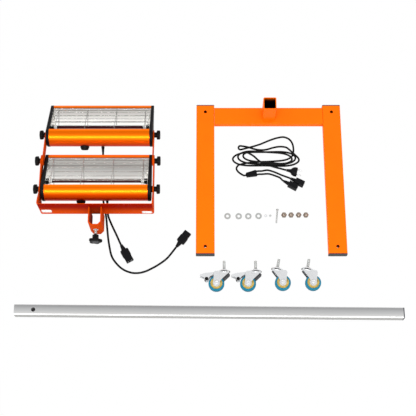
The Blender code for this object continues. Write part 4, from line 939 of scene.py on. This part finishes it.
# %% Guard wires
wire_radius, guard_first, guard_last, bar_span_share = 0.0011, 0.010, 0.121, 0.84
bar_w = opening_rise - sheet - gap - wire_radius
wire_w = bar_w + 1.3 * wire_radius
near_end, far_end = opening_near + near_lip / 2, opening_far - lip + wire_radius
inner = cap_inside - 2 * gap
spans = [((u, wire_w, -inner), (u, wire_w, inner)) for u in np.linspace(guard_first, guard_last, 6)]
spans += [((near_end, bar_w, x), (far_end, bar_w, x))
          for x in bar_span_share * cassette_length * np.linspace(-0.5, 0.5, 4)]
for name, cassette in cassettes.items():
    rods = [rod_between(wire_radius, *placed(span, *cassette)) for span in spans]
    dress(joined(f"{name}_guard_wires", rods), "bright_wire", f"{name}_cassette", "steel", f"{name}_guard")
print("wires every", round((guard_last - guard_first) / 5 * 1000, 1), "mm")

# %% [markdown]
# ## Switch boots
# The round switches sit in the housings' backs under soft rubber boots: a flange, a waist and a
# pressed-in top.

# %% Switch boots
switch_radius, switch_x, switch_stroke = 0.0165, -0.0575, 0.0025
switch_angle = math.radians(200)
radial = np.array([0.0, math.cos(switch_angle), math.sin(switch_angle)])
seat = -1000 * (sheet + switch_stroke + switch_radius ** 2 / (2 * round_radius))
boot_profile = [(0, seat), (15.9, seat), (16.5, 0.6 + seat), (16.5, 5), (16, 6.2), (15, 6.8), (14.6, 7.8),
                (14.2, 9.8), (13.2, 11.8), (11.6, 13.2), (9.8, 13.9), (8, 13.8), (5, 13.2), (2, 12.9), (0, 12.9)]
for name, (pivot, _) in cassettes.items():
    turned(f"{name}_switch_boot", boot_profile, 48, pivot + switch_x * x_way + radial * round_radius, radial,
           "knob_black", f"{name}_switch_button", "black", f"{name}_switch")
print("boots stand", max(height for _, height in boot_profile), "mm proud")

# %% [markdown]
# ## Knobs
# A side knob is a screw with a lobed grip. Its rim is rounded, and a separate dull cover closes the
# grip's face. The clamp's knob has five deeper lobes and turns on the end of the clamp screw.

# %% Knobs and clamp screw
half_yoke, arm_outer, middle_y, yoke_height = 0.208, 0.2034, 0.165, 0.075
grip_rest = [(4, 0), (9.6, 0), (10, 0.4), (10, 7.4), (11, 8.7), (13.5, 9), (15.9, 9.2), (17.6, 9.9), (18.5, 11.6),
             (18.5, 18.8), (17.6, 20.8), (15.7, 21.8), (13, 22), (10.8, 22), (10.2, 21.2), (0, 21.2)]
cover_profile = [(0, 20.8), (9.8, 20.8), (9.8, 21.5), (9.2, 21.9), (6, 22), (0, 22)]
for where, y, z, face, reach in (("lower", pivot_y["lower"], pivot_z["lower"], half_yoke, 12.6),
                                 ("middle", middle_y, yoke_height, half_yoke, 8.4),
                                 ("upper", pivot_y["upper"], pivot_z["upper"], arm_outer, 12.1)):
    for side, sign in sides:
        at = np.array([head_x + sign * (face + gap), y, z]) + kit_shift
        knob = f"knob_{where}_{side}"
        turned(f"{knob}_grip", [(0, -reach), (4, -reach), *grip_rest], 96, at, sign * x_way,
               "knob_black", knob, "black", knob, wobble=lobed(6, 0.15, 10.5, 18.5))
        turned(f"{knob}_cover", cover_profile, 40, at, sign * x_way, "face_grey", knob, "black")
clamp_reach, clamp_level = 0.070, 0.0525
screw_at = np.array([head_x, yoke_front - clamp_reach, clamp_level]) + kit_shift
dress(threaded("clamp_screw_thread", 0.005, -0.019, 0.033, 0.0015, 0.0006, screw_at, front),
      "bright_wire", "clamp_screw", "steel", "clamp_screw")
turned("clamp_knob_grip", [
    (0, 33.3), (5.3, 33.3), (5.3, 21), (10.8, 21), (11.5, 21.6), (11.5, 35.2), (12.8, 36.6), (16, 37), (22, 37.2),
    (24, 38), (25, 40), (25, 44.9), (24, 47.1), (21.8, 48.3), (15, 48.5), (13.6, 48.5), (12.8, 47.6), (0, 47.6)],
       110, screw_at, front, "knob_black", "clamp_knob", "black", "clamp_knob", wobble=lobed(5, 0.24, 12, 25))
turned("clamp_knob_cover", [(0, 47.1), (12.4, 47.1), (12.4, 47.9), (11.6, 48.4), (7, 48.5), (0, 48.5)], 48,
       screw_at, front, "face_grey", "clamp_knob", "black")
turned("clamp_washer", [(5.4, 0.1), (9.2, 0.1), (9.2, 0.5), (9, 0.7), (5.6, 0.7), (5.4, 0.5)], 40, screw_at, front,
       "plated_zinc", "kit", "zinc")
turned("clamp_nut", [(5.4, -4.1), (10, -4.1), (10.4, -4.7), (10.4, -8.5), (9.8, -9.3), (5.4, -9.3)], 96, screw_at,
       front, "plated_zinc", "kit", "zinc", wobble=hexagon)
print("six side knobs and the clamp's knob")

# %% [markdown]
# ## Yoke
# The yoke is one strip of sheet with two sharp bends. It is high along the front, where the clamp
# holds it, and narrows along the sides to round ends. Each station of the path carries a section
# whose half height comes from how far back the station lies.

# %% Yoke sheet
yoke_sheet, yoke_bend, yoke_depth, yoke_end_depth = 0.004, 0.007, 0.100, 0.044
arm_end = middle_y + yoke_end_depth / 2
bend_end = yoke_front + yoke_bend
arm_run = arm_end - (arm_end - bend_end) * np.linspace(0, 1, 60) ** 1.6
quarter = np.linspace(0, math.pi / 2, 9)[1:]
left_bend = np.stack([yoke_bend - half_yoke - yoke_bend * np.cos(quarter), bend_end - yoke_bend * np.sin(quarter)],
                     axis=1)
left_part = np.vstack([np.stack([np.full(60, -half_yoke), arm_run], axis=1), left_bend])
strip_path = np.vstack([left_part, left_part[::-1] * [-1, 1]])
inner_path = offset_path(strip_path, yoke_sheet)
inner_path[0], inner_path[-1] = strip_path[0] + [yoke_sheet, 0], strip_path[-1] - [yoke_sheet, 0]
back_share = np.clip((strip_path[:, 1] - bend_end) / (pivot_y["lower"] - 0.010 - bend_end), 0, 1)
past_pivot = np.clip((strip_path[:, 1] - middle_y) / (arm_end - middle_y), 0, 1)
half_height = (yoke_depth / 2 + (yoke_end_depth - yoke_depth) / 2 * smooth_step(back_share)) * np.sqrt(
    np.maximum(1 - past_pivot ** 2, 0.0004))
section = [np.column_stack([path, yoke_height + sign * half_height])
           for path, sign in ((strip_path, -1), (strip_path, 1), (inner_path, 1), (inner_path, -1))]
strip = grid_piece("yoke_strip", np.stack(section, axis=1) + kit_shift + [head_x, 0, 0], wrap_v=True, close_ends=True)
dress(strip, "yoke_red", "kit", "red", "yoke")
print("yoke stations:", len(strip_path))

# %% [markdown]
# ## Blank plates on the yoke
# Two small bare plates are riveted to the yoke's front. They carry no print here.

# %% Blank plates
yoke_face = yoke_front + kit_shift[1]
for side, x, z, width, height in (("left", -0.5900, 0.0560, 0.036, 0.026), ("right", -0.2260, 0.0440, 0.036, 0.022)):
    dress(rounded_block(f"yoke_plate_{side}", (width, height, 0.0007), 0.0002, (x, yoke_face - 0.0001, z),
                        (x_way, up, front)), "plate_white", "kit", "alu")
    rivets = [lathe("rivet", [(0, 0.6), (1.4, 0.6), (1.3, 1), (0.8, 1.4), (0, 1.5)], 16,
                    (x + i * (width / 2 - 0.003), yoke_face, z), front) for i in (-1, 1)]
    dress(joined(f"yoke_plate_rivets_{side}", rivets), "bright_wire", "kit", "steel")
print("two blank plates")

# %% [markdown]
# ## Casters
# A caster lies on the rim of its cup with its wheel flat. The tyre is moulded round a ribbed hub;
# the stem carries a real thread, a collar, and the domed cup that covers the swivel bearing.

# %% Wheels, stems and bearings
wheel_centres = {1: (0.026, -0.288), 2: (0.139, -0.288), 3: (0.2632, -0.285), 4: (0.3714, -0.285)}
cup_radius, caster_trail, caster_drop = 0.022, 0.028, 0.0495


def hub_ribs(angle, radius):
    """The height's factor: five ribs stand between shallow pockets in the web of the hub."""
    web = np.clip((radius - 10.5) / 1.5, 0, 1) * np.clip((20 - radius) / 1.5, 0, 1)
    return 1 - 0.2 * web * np.clip(0.7 - 0.7 * np.cos(5 * angle), 0, 1)


def mirrored(half):
    """A profile's upper half and its mirror image, in one run."""
    return half + [(radius, -height) for radius, height in half[::-1]]


tyre_half = [(21.2, 9.8), (22.6, 10.7), (25.8, 10.6), (27.4, 9.4), (28.2, 7.4), (28.5, 4)]
hub_half = [(4.4, 11.4), (9.6, 11.4), (10.4, 10), (12.2, 9.4), (14, 9.2), (16.5, 9), (18.5, 9), (20, 9.4),
            (20.6, 10.2), (21.15, 10.3)]
shield_profile = [(4.4, 11.7), (10, 12.1), (12.5, 11.7), (13.2, 10.8), (13.2, 9.5), (4.4, 9.5)]
rivet_profile = [(0, 20.3), (7, 20.3), (7.2, 20.8), (6.6, 21.8), (4, 22.6), (3.4, 22.2), (0, 22.2)]
cup_profile = [(0, 4), (8.5, 4), (9, 3.6), (9, 0.6), (9.8, 0), (13, -0.3), (16.5, -1.1), (19.5, -2.2), (21.4, -3.3),
               (22, -4.1), (21.8, -4.9), (21, -5.5), (20, -5.2), (19, -4), (6, -4), (4, -5.2), (4, -8.6), (8, -8.6),
               (8, -10.8), (7.7, -11.1), (0, -11.1)]
seal_profile = [(15, -5.6), (20.6, -5.6), (21.2, -6), (21.2, -6.6), (20.4, -7.4), (18.6, -7.8), (15, -7.8)]
race_profile = [(10, -7.9), (18.2, -7.9), (19.4, -8.4), (19.6, -9.4), (18.8, -10.8), (17.2, -12.4), (15, -13.6),
                (15, -12.8), (10, -9)]
casters = {}
for number, (x, y) in wheel_centres.items():
    braked = number < 3
    turn_angle, side = (0.0, -1) if braked else (math.radians(-11), 1)
    ahead = np.array([math.cos(turn_angle), math.sin(turn_angle), 0.0])
    along = np.array([-math.sin(turn_angle), math.cos(turn_angle), 0.0])
    centre = np.array([x, y, cup_radius]) + kit_shift
    swivel = centre - side * caster_trail * ahead + caster_drop * along
    casters[number] = (braked, side, ahead, along, centre)
    caster, wheel, fork = (f"caster_{number}{part}" for part in ("", "_wheel", "_fork"))
    turned(f"wheel_{number}_tyre", mirrored(tyre_half), 80, centre, up, "tyre_teal", wheel, "tyre", f"wheel_{number}")
    turned(f"wheel_{number}_hub", mirrored(hub_half), 80, centre, up, "hub_ochre", wheel, "tyre",
           recess=hub_ribs, sharp=40)
    turned(f"wheel_{number}_shield", shield_profile, 56, centre, up, "brake_grey", wheel, "grey")
    turned(f"{caster}_axle_rivet", rivet_profile, 48, centre, up, "plated_zinc", fork, "zinc")
    dress(threaded(f"{caster}_thread", 0.005, 0.0035, 0.035, 0.0015, 0.0004, swivel, along),
          "thread_steel", "kit", "zinc")
    turned(f"{caster}_cup", cup_profile, 64, swivel, along, "plated_zinc", "kit", "zinc", f"caster_stem_{number}")
    turned(f"{caster}_seal", seal_profile, 56, swivel, along, "cap_black", fork, "black")
    turned(f"{caster}_race", race_profile, 56, swivel, along, "plated_zinc", fork, "zinc")
print("casters:", len(casters))

# %% [markdown]
# ## Fork pads and brake rollers
# A ribbed rubber pad lies along each fork, thick and wide on the two braked casters. Its section is
# a line with square steps. On those two a pedal presses a knurled roller on the tyre.

# %% Fork pads and rollers
roller_profile = [(0, -13.6), (5.6, -13.6), (7, -12.8), *[(6.7 + 0.3 * (i % 2), 1.15 * i - 11.5) for i in range(21)],
                  (7, 12.8), (5.6, 13.6), (0, 13.6)]
roller_reach, roller_angle, rib_height = 0.0386, math.radians(24), 0.0009
for number, (braked, side, ahead, along, centre) in casters.items():
    thickness, ribs, half_depth, inset = (0.0062, 6, 0.0145, 0.0006) if braked else (0.0016, 7, 0.0050, 0.0002)
    t = np.repeat(np.linspace(0, 1, 2 * ribs + 1), 2)[1:-1]
    bump_out = np.tile([0.0, 0.0, 1.0, 1.0], ribs)[:len(t)] * rib_height
    start, stop = np.array([-side * 0.0215, 0.0150]) + inset, np.array([-side * 0.0435, 0.0358])
    step = unit(stop - start)
    away = np.array([step[1], -step[0]])
    away = away * np.sign(np.dot(away, [-side, -1.0]))
    line = start + (stop - start) * t[:, None] + away * (thickness + bump_out[:, None])
    inwards = -np.sign(step[0] * away[1] - step[1] * away[0])
    pad = drawn_band(f"caster_{number}_buffer", line, inwards * thickness, (-half_depth, half_depth), centre,
                     (ahead, along, up), sharp=25)
    dress(pad, "face_grey" if braked else "cap_black", f"caster_{number}_fork", "black")
    if braked:
        turned(f"caster_{number}_roller", roller_profile, 40,
               centre + roller_reach * (side * math.cos(roller_angle) * ahead + math.sin(roller_angle) * along), up,
               "knob_black", f"caster_{number}_brake", "black")
print("pads:", len(casters))

# %% [markdown]
# ## Loose fasteners
# Four washers, a small washer and nut, one long screw and four domed nuts lie in a row inside the
# floor frame. Turned rings and hexagons, and a real thread on the screw, catch the light as they do.

# %% Loose washers, nuts and screw


def on_floor(x, y, z=0.0):
    """A place measured on the picture, shifted on to the floor's frame."""
    return np.array([x - 0.0040, y + 0.0037, z])


def flat_ring(name, outer, inner, height, place, finish_name, slot_name):
    """A washer in mm: a rectangle with its four edges broken, carried round."""
    edge = 0.15 * height
    profile = [(inner, edge), (inner + edge, 0), (outer - edge, 0), (outer, edge), (outer, height - edge),
               (outer - edge, height), (inner + edge, height), (inner, height - edge)]
    turned(name, profile, 56, on_floor(*place), up, finish_name, "kit", slot_name)


washer_places = ((0.0719, -0.0322), (0.1132, -0.0326), (0.1486, -0.0326), (0.1863, -0.0318))
nut_places = ((0.2800, -0.0291), (0.3062, -0.0291), (0.3339, -0.0291), (0.3605, -0.0291))
for i, place in enumerate(washer_places, 1):
    flat_ring(f"loose_washer_{i}", 12, 5.4, 1.8, place, "thread_steel", "steel")
flat_ring("loose_small_washer", 5.25, 2.7, 1.1, (0.2129, -0.0306), "plated_zinc", "zinc")
turned("loose_small_nut", [(1.9, 0.4), (3.6, 0), (4.3, 0.4), (4.3, 2.8), (3.7, 3.2), (1.9, 2.8)], 96,
       on_floor(0.2295, -0.0306), up, "thread_steel", "kit", "steel", wobble=hexagon)
quarter = np.linspace(0, math.pi / 2, 12)
dome_profile = [(0, 8.2), (8.6, 8.2), *(8.6 * np.stack([np.cos(quarter), 1 + np.sin(quarter)], axis=1))]
for i, place in enumerate(nut_places, 1):
    at = on_floor(*place)
    base = lathe("base", [(0, 0), (9.8, 0), (10.5, 0.7), (10.5, 7.2), (9.6, 8.2), (8.6, 8.4), (0, 8.4)], 96, at, up,
                 wobble=hexagon)
    dome = lathe("dome", dome_profile, 48, at, up)
    dress(joined(f"loose_domed_nut_{i}", [base, dome]), "bronze_steel", "kit", "steel")
screw_head, screw_tip = on_floor(0.2563, -0.0062, 0.0052), on_floor(0.2510, -0.0601, 0.0052)
screw_way = screw_tip - screw_head
shaft = threaded("shaft", 0.0030, 0.0040, float(np.linalg.norm(screw_way)), 0.0012, 0.0004, screw_head, screw_way)
head = lathe("head", [(0, 0), (4.2, 0), (5.2, 0.6), (5.2, 3.6), (4.6, 4.2), (0, 4.2)], 96, screw_head, screw_way,
             wobble=hexagon)
dress(joined("loose_long_screw", [shaft, head]), "thread_steel", "kit", "steel")
print("loose pieces:", len(washer_places) + len(nut_places) + 3)

# %% [markdown]
# ## Edge of the pole's hole
# The drilled hole near the pole's foot shows a dark edge. It is a low ring round the hole.

# %% Pole hole ring
hole_x, pole_y = -0.6195, -0.3958
hole_at = np.array([hole_x * math.cos(pole_tilt), pole_y - hole_x * math.sin(pole_tilt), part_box("pole")[1][2]])
turned("pole_hole_edge", [(5.3, -0.4), (5.3, 0.2), (6.8, 0.2), (7.4, 0), (7.4, -0.4)], 48, hole_at, up,
       "cap_black", "kit", "black")
print("hole at", [round(float(v), 4) for v in hole_at])

# %% [markdown]
# ## Light and floor
# A plain pale floor takes the shadow, and the camera sees it as white. The room is bright round the
# horizon and greyer overhead, so upright faces shine and level ones stay calm. A long strip lamp in
# front draws the gloss line on the two round housings.

# %% Floor, lamps and world
floor_level, floor_reach = -0.0004, np.array([-8.0, 8.0])
corners = np.broadcast_arrays(floor_reach[:, None], floor_reach[None, :], floor_level)
floor = grid_piece("floor", np.stack(corners, axis=-1))
floor_white, tree = new_material("floor_white")
shader = feed(tree, tree.nodes["Principled BSDF"], {"Base Color": (0.62, 0.62, 0.62), "Roughness": 0.9,
                                                    "Specular IOR Level": 0.0})
rays = new_node(tree, "LightPath").outputs
seen = math_node(tree, "MAXIMUM", math_node(tree, "MAXIMUM", rays["Is Camera Ray"],
                                            math_node(tree, "MULTIPLY", rays["Is Glossy Ray"], 0.4)),
                 rays["Is Transmission Ray"])
blend = new_node(tree, "MixShader", {0: math_node(tree, "MULTIPLY", seen, 0.995), 1: shader.outputs[0],
                                     2: new_node(tree, "Emission").outputs[0]})
feed(tree, tree.nodes["Material Output"], {0: blend.outputs[0]})
floor.data.materials.append(floor_white)
floor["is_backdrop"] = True


def soft_lamp(name, place, size, power):
    lamp = bpy.data.lights.new(name, "AREA")
    lamp.shape = "RECTANGLE"
    lamp.size, lamp.size_y = size
    lamp.energy = power
    obj = linked(name, lamp)
    obj.location = place
    obj.rotation_euler = (Vector((-0.05, 0.0, 0.0)) - Vector(place)).to_track_quat("-Z", "Y").to_euler()
    return obj


key_elevation, key_distance = math.radians(49), 3
soft_lamp("lamp_strip", (-0.1, -key_distance * math.cos(key_elevation), key_distance * math.sin(key_elevation)),
          (3.4, 0.20), 60)
soft_lamp("lamp_above", (-0.3, -0.9, 3.0), (2.0, 1.6), 16).visible_glossy = False
world = bpy.data.worlds.new("studio")
bpy.context.scene.world = world
world.use_nodes = True
sky = world.node_tree
split = new_node(sky, "SeparateXYZ", {0: new_node(sky, "TexCoord").outputs["Generated"]})
fade = new_node(sky, "MapRange", {"Value": split.outputs["Z"], "From Min": 0.78, "From Max": 0.97, "To Min": 1.15,
                                  "To Max": 0.42})
feed(sky, sky.nodes["Background"], {"Strength": fade.outputs[0], "Color": (1, 1, 1)})
bpy.context.scene.view_settings.view_transform = "Standard"
print("studio ready")

# %% [markdown]
# ## Sizes
# The box round the solids and the box round the dressed model are printed, one under the other.

# %% Sizes
full_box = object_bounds()
for label, box in (("cad", cad_box), ("visual", full_box)):
    print(label, [[round(c, 4) for c in v] for v in box])
